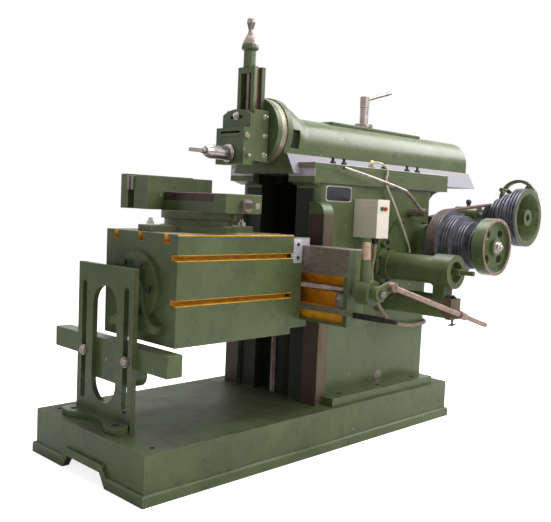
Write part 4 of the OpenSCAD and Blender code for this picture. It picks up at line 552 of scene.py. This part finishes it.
def roundCasting(nodeName, width, look):
    # weld the solid's points, join its flat faces, then bevel each edge sharper than the limit
    source = nodes[nodeName]
    mesh = source.data.copy()
    mesh.name = nodeName + "Cast"
    work = bmesh.new()
    work.from_mesh(mesh)
    bmesh.ops.remove_doubles(work, verts=work.verts, dist=look["weld"])
    bmesh.ops.dissolve_limit(work, angle_limit=math.radians(look["flat"]), verts=work.verts, edges=work.edges)
    shadeSmooth(work, mesh)
    piece = addObject(nodeName + "Cast", mesh)
    bevel = piece.modifiers.new("roundEdges", "BEVEL")
    bevel.width = width
    bevel.segments = look["segments"]
    bevel.limit_method = "ANGLE"
    bevel.angle_limit = math.radians(look["edge"])
    bevel.use_clamp_overlap = True
    level = piece.modifiers.new("levelFaces", "WEIGHTED_NORMAL")  # wide faces keep their own direction
    level.mode = "FACE_AREA"
    level.weight = look["faceWeight"]
    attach(piece, source["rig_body"])
    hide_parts(nodeName)


for nodeName, width in castings.items():
    roundCasting(nodeName, width, castingLook)
print("castings rounded:", len(castings))


def gridFaces(count, rows, cols):
    # quads between neighbours of a grid that closes on itself across, for each of count copies
    i, j = np.meshgrid(np.arange(rows - 1), np.arange(cols), indexing="ij")
    k = (j + 1) % cols
    here, ahead = i * cols, (i + 1) * cols
    quads = np.stack([here + j, here + k, ahead + k, ahead + j], axis=-1).reshape(-1, 4)
    return (quads[None] + np.arange(count)[:, None, None] * rows * cols).reshape(-1, 4)


def sideWays(axis):
    # two unit directions square to an axis and to each other, by cross products with a helper
    axis = np.asarray(axis, float)
    helper = np.array(alongX if axis[2] else rise)
    across = np.cross(helper, axis)
    across /= np.linalg.norm(across)
    return axis, across, np.cross(axis, across)


def ringOf(angle, u, v):
    # cos a u + sin a v for every angle
    return np.cos(angle)[:, None] * u + np.sin(angle)[:, None] * v


def turns(sides, start=0.0):
    # that many equal steps of a whole turn
    return start + 2 * np.pi * np.arange(sides) / sides


def latheSkin(profile, places, axis, sides, turn=0.0):
    # radius and height of the profile turned round the axis: place + r (cos a u + sin a v) + h axis
    profile = np.asarray(profile, float)
    axis, u, v = sideWays(axis)
    shape = profile[:, 0, None, None] * ringOf(turns(sides, turn), u, v) + profile[:, 1, None, None] * axis
    return np.asarray(places, float).reshape(-1, 1, 1, 3) + shape[None]


def slabSkin(place, u, v, half, depth, corner, sides=40, lip=0.0012):
    # superellipse outline |x/a|^n + |y/b|^n = 1, carried out along u cross v and drawn in over a small lip
    u, v = np.asarray(u, float), np.asarray(v, float)
    angle = turns(sides, np.pi / sides)
    x = np.sign(np.cos(angle)) * np.abs(np.cos(angle)) ** (2 / corner)
    y = np.sign(np.sin(angle)) * np.abs(np.sin(angle)) ** (2 / corner)
    shut = max(half)
    lipStart = 0.3 * lip
    inset = np.array([shut, 0.0, 0.0, lipStart, lip, shut])
    height = np.array([0.0, 0.0, depth - lip, depth - lipStart, depth, depth])
    a = np.maximum(half[0] - inset, 0.0)[:, None] * x
    b = np.maximum(half[1] - inset, 0.0)[:, None] * y
    shape = a[..., None] * u + b[..., None] * v + height[:, None, None] * np.cross(u, v)
    return (np.asarray(place, float) + shape)[None]


# thread: facets round and steps a pitch, and the slope and floor of its trapezoid wave
threadForm = {"sides": 16, "perPitch": 8, "slope": 2.2, "floor": 0.6}


def threadSkin(start, spec, form):
    # radius is a trapezoid wave of height / pitch - angle, between root and crest
    axis, u, v = sideWays(spec["axis"])
    rows = int(spec["length"] / spec["pitch"] * form["perPitch"]) + 2
    height = np.linspace(0.0, spec["length"], rows)
    angle = turns(form["sides"])
    phase = (height[:, None] / spec["pitch"] - angle[None] / (2 * np.pi)) % 1.0
    wave = np.clip(form["slope"] * np.abs(2 * phase - 1) - form["floor"], 0.0, 1.0)
    radius = spec["root"] + (spec["crest"] - spec["root"]) * wave
    radius[[0, -1]] = 0.0
    return (np.asarray(start) + radius[..., None] * ringOf(angle, u, v) + height[:, None, None] * axis)[None]


# shares of a nut's size and height: washer, top edge and stud, and the sides of the round parts
nutForm = {"washer": 1.28, "washerHigh": 0.14, "edge": 0.82, "top": 0.86, "stud": 0.5, "tip": 0.38,
           "tipHigh": 0.12, "turn": 0.3, "washerSides": 20, "nutSides": 6, "studSides": 14}


def nutSkins(spec, form):
    # washer, six sided nut with a drawn in top, and the rounded end of its stud
    places, axis, size, height = spec["places"], spec["axis"], spec["size"], spec["height"]
    wide, thick = form["washer"] * size, form["washerHigh"] * height
    nut = [(0, 0), (size, 0), (size, form["edge"] * height), (form["top"] * size, height), (0, height)]
    skins = [latheSkin([(0, 0), (wide, 0), (wide, thick), (0, thick)], places, axis, form["washerSides"]),
             latheSkin(nut, places, axis, form["nutSides"], form["turn"])]
    if "stud" in spec:
        r, end = form["stud"] * size, height + spec["stud"]
        tip = end + form["tipHigh"] * size
        stud = [(0, 0), (r, 0), (r, end), (form["tip"] * size, tip), (0, tip)]
        skins.append(latheSkin(stud, places, axis, form["studSides"]))
    return skins


# welding distances and, in degrees, the angle past which an edge stays sharp
pieceLook = {"weld": 1e-6, "sliver": 1e-7, "sharp": 35.0, "soft": 50.0, "softest": 80.0}


def addPiece(name, skins, node, finishName, sharp=pieceLook["sharp"]):
    # the skins become one mesh, which rides the body of the solid that carries it
    points = np.concatenate([skin.reshape(-1, 3) for skin in skins])
    starts = np.cumsum([0] + [skin.size // 3 for skin in skins])
    faces = np.concatenate([gridFaces(*skin.shape[:3]) + start for skin, start in zip(skins, starts)])
    mesh = bpy.data.meshes.new(name)
    mesh.from_pydata(points.tolist(), [], faces.tolist())
    work = bmesh.new()
    work.from_mesh(mesh)
    bmesh.ops.remove_doubles(work, verts=work.verts, dist=pieceLook["weld"])
    bmesh.ops.dissolve_degenerate(work, dist=pieceLook["sliver"], edges=work.edges)
    bmesh.ops.recalc_face_normals(work, faces=work.faces)
    shadeSmooth(work, mesh)
    mesh.set_sharp_from_angle(angle=math.radians(sharp))
    mesh.materials.append(makeMaterial(finishName, finishName))
    piece = addObject(name, mesh)
    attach(piece, nodes[node]["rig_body"])
    return piece


def boltCircle(centre, axis, radius, first, count=6):
    # centre + r (cos a u + sin a v) at equal steps from the first angle, in degrees
    _, u, v = sideWays(axis)
    return np.asarray(centre) + radius * ringOf(turns(count, math.radians(first)), u, v)


# middle lines of the drive shaft and of the cone shaft above it, as x and z
driveLine, coneLine = (0.79088, 0.8728), (1.1985, 1.0127)
coverNear = -0.262
coverPoints = ((0.838, 0.785), (0.838, 0.908), (0.79, 0.962), (0.61, 0.962), (0.505, 0.872), (0.622, 0.785))
wheelFace = (driveLine[0], -0.668, driveLine[1])
# nuts and screws: where they sit, which way they point, corner radius, height and, where there is one, the
# stud beyond it; blued steel unless a finish is named
fasteners = {
    "gibScrews": {
        "node": "tool_slide", "axis": near, "size": 0.0085, "height": 0.007, "stud": 0.01,
        "finish": "boltChrome",
        "places": [spot("tool_slide", -0.158, "low", z) for z in (1.386, 1.307, 1.228)]},
    "apronBolt": {
        "node": "tool_slide", "axis": front, "size": 0.013, "height": 0.012, "stud": 0.004,
        "finish": "boltChrome", "places": [(-0.2401, 0.0, 1.386)]},
    "keeperStuds": {
        "node": "keeper_near", "axis": rise, "size": 0.0135, "height": 0.013, "stud": 0.016,
        "places": [spot("keeper_near", x, y, "high") for y in (-0.235, 0.235)
                   for x in (0.115, 0.19, 0.48, 0.665, 0.752)]},
    "strokeBolts": {
        "node": "stroke_housing", "axis": near, "size": 0.0075, "height": 0.007,
        "places": boltCircle((0.505, -0.267, 0.765), near, 0.0735, 30)},
    "coverBolts": {
        "node": "side_cover", "axis": near, "size": 0.009, "height": 0.008,
        "places": [(x, coverNear, z) for x, z in coverPoints]},
    "shoeBolts": {
        "node": "table_shoe", "axis": front, "size": 0.011, "height": 0.008,
        "places": boltCircle(spot("table_shoe", "low", "mid", ("high", -0.128)), front, 0.1, 0)},
    "crankScrew": {
        "node": "feed_crank", "axis": rise, "size": 0.011, "height": 0.01, "stud": 0.004,
        "places": [(0.495, -0.635, 0.6498)]},
    "wheelNut": {
        "node": "handwheel", "axis": near, "size": 0.023, "height": 0.016, "stud": 0.006,
        "finish": "boltChrome", "places": [wheelFace]},
}

for fastenerName, spec in fasteners.items():
    finishName = spec.get("finish", "bluedSteel")
    addPiece(fastenerName, nutSkins(spec, nutForm), spec["node"], finishName)
print("fasteners:", len(fasteners))

# turned trim: profiles of radius and height, each in the finish its entry names
trim = {
    "clapperPinHead": {
        "node": "clapper_box", "finish": "roundSteel", "axis": near, "sides": 24,
        "places": [spot("clapper_box", -0.2573, "low", 1.3)],
        "profile": [(0, 0), (0.014, 0), (0.014, 0.004), (0.012, 0.0065), (0.004, 0.0072), (0, 0.0072)]},
    "clapperStop": {
        "node": "clapper_box", "finish": "boltChrome", "axis": near, "sides": 14,
        "places": [spot("clapper_box", -0.252, ("low", 0.0005), 1.222)],
        "profile": [(0, 0), (0.0042, 0), (0.0042, 0.012), (0.0075, 0.0125), (0.0075, 0.017), (0.005, 0.019),
                    (0, 0.019)]},
    "barBolts": {
        "node": "support_bar", "finish": "roundSteel", "axis": front, "sides": 24,
        "places": [spot("support_bar", ("low", -0.0002), y, 0.428) for y in (0.202, -0.082)],
        "profile": [(0, 0), (0.0125, 0), (0.0125, 0.0211), (0.0215, 0.0212), (0.0215, 0.0245),
                    (0.017, 0.0252), (0.0165, 0.03), (0.012, 0.0345), (0.005, 0.0368), (0, 0.0372)]},
    "oilCup": {
        "node": "shaft_bracket", "slot": "pulley_iron", "finish": "inkBlack", "axis": rise, "sides": 24,
        "places": [(coneLine[0], -0.2675, 1.0685)],
        "profile": [(0, 0), (0.011, 0), (0.011, 0.004), (0.014, 0.006), (0.014, 0.018), (0.0105, 0.0245),
                    (0.003, 0.027), (0, 0.027)]},
    "crankStem": {
        "node": "feed_crank", "finish": "wayBrown", "axis": drop, "sides": 14,
        "places": [(0.495, -0.635, 0.561)],
        "profile": [(0, 0), (0.008, 0), (0.008, 0.006), (0.005, 0.007), (0.005, 0.02), (0.0075, 0.022),
                    (0.0075, 0.03), (0.005, 0.032), (0, 0.032)]},
    "crankBar": {
        "node": "feed_crank", "finish": "wayBrown", "axis": alongX, "sides": 12,
        "places": [(0.469, -0.635, 0.535)],
        "profile": [(0, 0), (0.0035, 0.0005), (0.0045, 0.003), (0.0035, 0.007), (0.0035, 0.045),
                    (0.0045, 0.049), (0.0035, 0.0515), (0, 0.052)]},
    "oilFitting": {
        "node": "keeper_near", "slot": "knob_brass", "finish": "fittingBrass", "axis": rise, "sides": 12,
        "places": [spot("keeper_near", 0.389, -0.235, "high")],
        "profile": [(0, 0), (0.012, 0), (0.012, 0.008), (0.008, 0.01), (0.008, 0.02), (0.011, 0.022),
                    (0.011, 0.03), (0.006, 0.035), (0, 0.035)]},
    "hoseGland": {
        "node": "switch_box", "finish": "bluedSteel", "axis": drop, "sides": 20,
        "places": [spot("switch_box", "mid", -0.3375, ("low", 0.001))],
        "profile": [(0, 0), (0.018, 0), (0.018, 0.008), (0.0145, 0.009), (0.0145, 0.022), (0.0118, 0.027),
                    (0, 0.027)]},
    "hoseEnd": {
        "node": "column", "finish": "bluedSteel", "axis": alongY, "sides": 20,
        "places": [(0.896, -0.198, 0.4743)],
        "profile": [(0, 0), (0.0115, 0.001), (0.0135, 0.005), (0.0135, 0.018), (0.018, 0.019), (0.018, 0.03),
                    (0.015, 0.033), (0, 0.033)]},
    "coneMouth": {
        "node": "upper_cone", "slot": "machine_paint", "finish": "machinePaint", "axis": alongY, "sides": 64,
        "places": [(coneLine[0], -0.605, coneLine[1])],
        "profile": [(0.1385, -0.0008), (0.1205, -0.0008), (0.0660, 0.1095), (0.0655, 0.1085), (0.1190, 0.0),
                    (0.1190, -0.0014), (0.1385, -0.0014), (0.1385, -0.0008)]},
    "wheelBand": {
        "node": "handwheel", "finish": "rodRust", "axis": near, "sides": 72,
        "places": [wheelFace],
        "profile": [(0.1165, -0.001), (0.1302, -0.001), (0.1302, 0.0004), (0.1295, 0.0008), (0.1172, 0.0008),
                    (0.1165, 0.0004), (0.1165, -0.001)]},
}

for trimName, spec in trim.items():
    skin = latheSkin(spec["profile"], spec["places"], spec["axis"], spec["sides"])
    addPiece(trimName, [skin], spec["node"], spec["finish"])
print("turned trim:", len(trim))

# plate with a pale rim and four rivets, left bare
namePlate = {
    "centre": spot("side_cover", 0.153, "high", 1.0815), "half": (0.087, 0.0355), "rim": 0.006,
    "thick": 0.0016, "lip": 0.0005, "faceSink": 0.0006, "faceThick": 0.001, "faceLip": 0.0004, "corner": 9.0,
    "sides": 48, "rivetShare": (0.97, 0.9), "rivetSides": 12,
    "rivet": [(0, -0.001), (0.0032, -0.001), (0.003, 0.0008), (0.0015, 0.0016), (0, 0.0018)],
}


def addPlate(plate):
    # rim slab, a thinner face inside it, and a rivet at each corner of the rim
    x, y, z = plate["centre"]
    half, rim, top = np.array(plate["half"]), plate["rim"], y - plate["thick"]
    form = plate["corner"], plate["sides"]
    outer = slabSkin(plate["centre"], alongX, rise, half, plate["thick"], *form, plate["lip"])
    addPiece("plateRim", [outer], "column", "plateRim")
    faceAt = (x, top + plate["faceSink"], z)
    inner = slabSkin(faceAt, alongX, rise, half - rim, plate["faceThick"], *form, plate["faceLip"])
    addPiece("plateFace", [inner], "column", "plateBlack")
    reach = (half - rim / 2) * plate["rivetShare"]
    rivets = [(x + a * reach[0], top, z + b * reach[1]) for a in (-1, 1) for b in (-1, 1)]
    addPiece("plateRivets", [latheSkin(plate["rivet"], rivets, near, plate["rivetSides"])],
             "column", "boltChrome")


addPlate(namePlate)

# small block and screw at the operator's end of the rail recess
railStop = {
    "place": (-0.03, -0.4735, 0.6565), "half": (0.0212, 0.0285), "depth": 0.056, "corner": 8.0,
    "screw": (-0.086, -0.4735, 0.667), "screwSides": 20,
    "head": [(0, 0), (0.011, 0), (0.011, 0.003), (0.0055, 0.0033), (0.0055, 0.0012), (0, 0.0012)],
}


def addRailStop(stop):
    # a slab that stands out to the front, and the screw head on it
    block = slabSkin(stop["place"], alongY, drop, stop["half"], stop["depth"], stop["corner"])
    addPiece("railStop", [block], "cross_rail", "scrapedSteel")
    head = latheSkin(stop["head"], [stop["screw"]], front, stop["screwSides"])
    addPiece("railStopScrew", [head], "cross_rail", "boltChrome")


addRailStop(railStop)

# bare gib with two screws on the operator's end of the saddle
saddleGib = {
    "place": spot("saddle", -0.1225, ("low", 0.0005), 0.838), "half": (0.0265, 0.0485), "depth": 0.006,
    "corner": 10.0, "sides": 48, "lip": 0.002, "screws": (0.812, 0.866), "screwSides": 16,
    "head": [(0, -0.001), (0.0075, -0.001), (0.0075, 0.002), (0.006, 0.0035), (0.0032, 0.0035),
             (0.0032, 0.0015), (0, 0.0015)],
}


def addSaddleGib(gib):
    # a slab that stands out to the operator, and a screw head at each height
    x, y, _ = gib["place"]
    form = gib["corner"], gib["sides"], gib["lip"]
    strip = slabSkin(gib["place"], alongX, rise, gib["half"], gib["depth"], *form)
    addPiece("saddleGib", [strip], "saddle", "groundSteel")
    places = [(x, y - gib["depth"], z) for z in gib["screws"]]
    heads = latheSkin(gib["head"], places, near, gib["screwSides"])
    addPiece("saddleGibScrews", [heads], "saddle", "bluedSteel")


addSaddleGib(saddleGib)
print("plate, rail stop and saddle gib")

# lead screws with real threads: start along the axis, length, crest and root radius, pitch,
# and plain stretches as start, radius, length and sides
leadScrews = {
    "cross_screw": {
        "axis": alongY, "start": -0.497, "length": 0.994, "crest": 0.015, "root": 0.0122, "pitch": 0.006,
        "plain": [(-0.648, 0.015, 0.153, 24), (-0.671, 0.0148, 0.03, 4), (0.495, 0.015, 0.036, 24)]},
    "elevating_screw": {
        "axis": rise, "start": 0.176, "length": 0.65, "crest": 0.016, "root": 0.0128, "pitch": 0.006,
        "plain": [(0.175, 0.0126, 0.657, 24)]},
    "downfeed_screw": {
        "axis": rise, "start": 1.222, "length": 0.365, "crest": 0.011, "root": 0.0085, "pitch": 0.005,
        "plain": [(1.5865, 0.011, 0.103, 24)]},
}
plainForm = {"chamfer": 0.12, "turn": np.pi / 4}


def addScrew(nodeName, spec):
    # thread and plain stretches set along the middle line of the solid
    axis = np.array(spec["axis"])
    line = boxOf(nodeName)["mid"] * (1.0 - axis)
    skins = [threadSkin(line + spec["start"] * axis, spec, threadForm)]
    for start, r, h, sides in spec["plain"]:
        edge = plainForm["chamfer"] * r
        profile = [(0, 0), (r - edge, 0), (r, edge), (r, h - edge), (r - edge, h), (0, h)]
        skins.append(latheSkin(profile, [line + start * axis], axis, sides, plainForm["turn"]))
    piece = addPiece(nodeName + "Thread", skins, nodeName, "roundSteel", pieceLook["soft"])
    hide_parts(nodeName)


for nodeName, spec in leadScrews.items():
    addScrew(nodeName, spec)
print("lead screws:", len(leadScrews))

# three belts: V section of half width and height, carried round a step of each pulley
beltDrive = {
    "big": driveLine, "small": coneLine, "bigInner": 0.1553, "smallInner": 0.0553,
    "bigSteps": 72, "smallSteps": 40, "middles": (-0.39683, -0.4125, -0.42817),
    "section": [(-0.0029, 0.0001), (0.0029, 0.0001), (0.005, 0.0085), (0.0053, 0.0098), (0.0046, 0.0109),
                (-0.0046, 0.0109), (-0.0053, 0.0098), (-0.005, 0.0085)],
}


def beltSkin(drive):
    # centre + (inner radius + h) n(a) round both pulleys; the runs between them join equal normals
    big, small = np.array(drive["big"]), np.array(drive["small"])
    gap = small - big
    lean = math.atan2(gap[1], gap[0])
    wrap = math.acos((drive["bigInner"] - drive["smallInner"]) / np.linalg.norm(gap))
    bigTurn = np.linspace(lean + wrap, lean - wrap + 2 * np.pi, drive["bigSteps"])
    smallTurn = np.linspace(lean - wrap + 2 * np.pi, lean + wrap + 2 * np.pi, drive["smallSteps"])
    angle = np.concatenate([bigTurn, smallTurn, bigTurn[:1]])
    onBig = np.concatenate([np.ones(len(bigTurn)), np.zeros(len(smallTurn)), [1.0]])[:, None]
    centre = onBig * big + (1 - onBig) * small
    section = np.array(drive["section"])
    reach = onBig * drive["bigInner"] + (1 - onBig) * drive["smallInner"] + section[None, :, 1]
    x = centre[:, 0, None] + reach * np.cos(angle)[:, None]
    z = centre[:, 1, None] + reach * np.sin(angle)[:, None]
    y = np.broadcast_to(section[None, :, 0], x.shape)
    loop = np.stack([x, y, z], axis=-1)
    return loop[None] + np.array([(0.0, m, 0.0) for m in drive["middles"]])[:, None, None, :]


belts = addPiece("vBelts", [beltSkin(beltDrive)], "drive_belt", "beltRubber",
                 pieceLook["soft"])
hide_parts("drive_belt")

# ribbed conduit from the switch, down and round the rear of the column
conduit = {
    "radius": 0.0094, "rib": 0.0009, "ribPitch": 0.0085, "stepLength": 0.0011, "perKnot": 60, "sides": 14,
    "diameter": 0.018, "helper": (0.1, 1.0, 0.05),
    "knots": [(0.3065, -0.3375, 0.8954), (0.3064, -0.336, 0.82), (0.3081, -0.324, 0.7403),
              (0.3303, -0.324, 0.6605), (0.3797, -0.322, 0.5902), (0.4497, -0.318, 0.5303),
              (0.5597, -0.304, 0.4866), (0.6996, -0.286, 0.4657), (0.775, -0.2735, 0.4632)],
    "corner": {"middle": (0.822, -0.192), "radius": 0.074, "low": 0.4634, "high": 0.4735, "points": 6},
    "end": (0.896, -0.178, 0.4743),
}


def runOf(path):
    # length along the path at each of its points
    return np.concatenate([[0.0], np.cumsum(np.linalg.norm(np.diff(path, axis=0), axis=1))])


def conduitPath(spec):
    # cubic through the points, with a round turn at the column's corner, then cut at even steps of length
    corner = spec["corner"]
    turn = np.linspace(0.0, np.pi / 2, corner["points"])
    bend = np.stack([corner["middle"][0] + corner["radius"] * np.sin(turn),
                     corner["middle"][1] - corner["radius"] * np.cos(turn),
                     np.linspace(corner["low"], corner["high"], corner["points"])], axis=-1)
    knots = np.concatenate([spec["knots"], bend, [spec["end"]]])
    last = len(knots) - 1
    t = np.linspace(0.0, last, last * spec["perKnot"] + 1)
    i = np.minimum(t.astype(int), last - 1)
    u = (t - i)[:, None]
    a, b, c, d = (knots[np.clip(i + k, 0, last)] for k in (-1, 0, 1, 2))
    path = 0.5 * (2 * b + (c - a) * u + (2 * a - 5 * b + 4 * c - d) * u ** 2
                  + (3 * b - a - 3 * c + d) * u ** 3)
    run = runOf(path)
    even = np.linspace(0.0, run[-1], int(run[-1] / spec["stepLength"]))
    return np.stack([np.interp(even, run, path[:, k]) for k in range(3)], axis=-1)


def conduitSkin(path, spec):
    # ring round each path point, its radius drawn in by a wave of the length along the path
    step = np.gradient(path, axis=0)
    ahead = step / np.linalg.norm(step, axis=1, keepdims=True)
    across = np.cross(ahead, spec["helper"])
    across /= np.linalg.norm(across, axis=1, keepdims=True)
    other = np.cross(ahead, across)
    run = runOf(path)
    radius = spec["radius"] - spec["rib"] * (0.5 + 0.5 * np.cos(2 * np.pi * run / spec["ribPitch"]))
    radius[[0, -1]] = 0.0
    angle = turns(spec["sides"])
    ring = np.cos(angle)[None, :, None] * across[:, None] + np.sin(angle)[None, :, None] * other[:, None]
    return (path[:, None] + radius[:, None, None] * ring)[None], float(run[-1])


hosePath = conduitPath(conduit)
hoseSkin, hoseLength = conduitSkin(hosePath, conduit)
hose = addPiece("conduitHose", [hoseSkin], "conduit_hose", "hosePlastic",
                pieceLook["softest"])
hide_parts("conduit_hose")
print("belts and conduit, conduit length", round(hoseLength, 3))

# graduations: short bars on the rims of the swivel head and of the vise, angles in degrees
tickForm = {"wide": 0.0009, "tall": 0.0006, "sunk": 0.002, "long": 10, "short": 0.6, "step": 5}
dials = {
    "headTicks": {
        "node": "swivel_head", "centre": spot("swivel_head", ("high", -0.017), "mid", ("low", 0.14)),
        "axis": alongX, "radius": 0.1398, "first": -60, "last": 60, "zero": 90.0, "half": 0.0075},
    "viseTicks": {
        "node": "vise_body", "centre": spot("vise_base", "mid", "mid", "high"),
        "axis": rise, "radius": 0.1478, "first": -90, "last": 90, "zero": 0.0, "half": 0.0045},
}


def tickSkin(spec, form):
    # at each angle a bar along the axis, standing on the rim: r n + s t + h axis over a four sided ring
    axis, u, v = sideWays(spec["axis"])
    degree = np.arange(spec["first"], spec["last"] + 1, form["step"])
    out = ringOf(np.radians(degree + spec["zero"]), u, v)
    side = np.cross(axis, out)
    half = spec["half"] * np.where(degree % form["long"] == 0, 1.0, form["short"])
    ringS = np.array([-1.0, 1.0, 1.0, -1.0]) * form["wide"]
    ringH = np.array([-1.0, -1.0, 1.0, 1.0])
    lift = np.array([-form["sunk"], -form["sunk"], form["tall"], form["tall"]])
    keep = np.array([0.0, 1.0, 1.0, 0.0])
    shape = (spec["radius"] + lift)[None, :, None, None] * out[:, None, None]
    shape = shape + (keep[:, None] * ringS[None])[None, ..., None] * side[:, None, None]
    shape = shape + (keep[:, None] * ringH[None])[None, ..., None] * half[:, None, None, None] * axis
    return np.asarray(spec["centre"]) + shape


for dialName, spec in dials.items():
    addPiece(dialName, [tickSkin(spec, tickForm)], spec["node"], "inkBlack")
print("graduations:", len(dials))


def pressFloor(light):
    # flat square floor that shows white to the camera and keeps the shadow
    half = light["floorSize"] / 2
    mesh = bpy.data.meshes.new("studioFloor")
    corners = [(-half, -half, 0.0), (half, -half, 0.0), (half, half, 0.0), (-half, half, 0.0)]
    mesh.from_pydata(corners, [], [(0, 1, 2, 3)])
    floor = addObject("studioFloor", mesh)
    material = bpy.data.materials.new("floorPale")
    material.use_nodes = True
    tree = material.node_tree
    shader = tree.nodes["Principled BSDF"]
    path = addNode(tree, "ShaderNodeLightPath")
    glow = rampOf(tree, path.outputs["Is Camera Ray"], (0.0, 1.0), (0.0, light["floorGlow"]))
    for socket, value in (("Base Color", light["floorColour"] + (1.0,)), ("Roughness", light["floorRough"]),
                          ("Specular IOR Level", 0.0), ("Emission Color", light["white"]),
                          ("Emission Strength", glow)):
        feed(tree, shader.inputs[socket], value)
    mesh.materials.append(material)


pressFloor(studioLight)
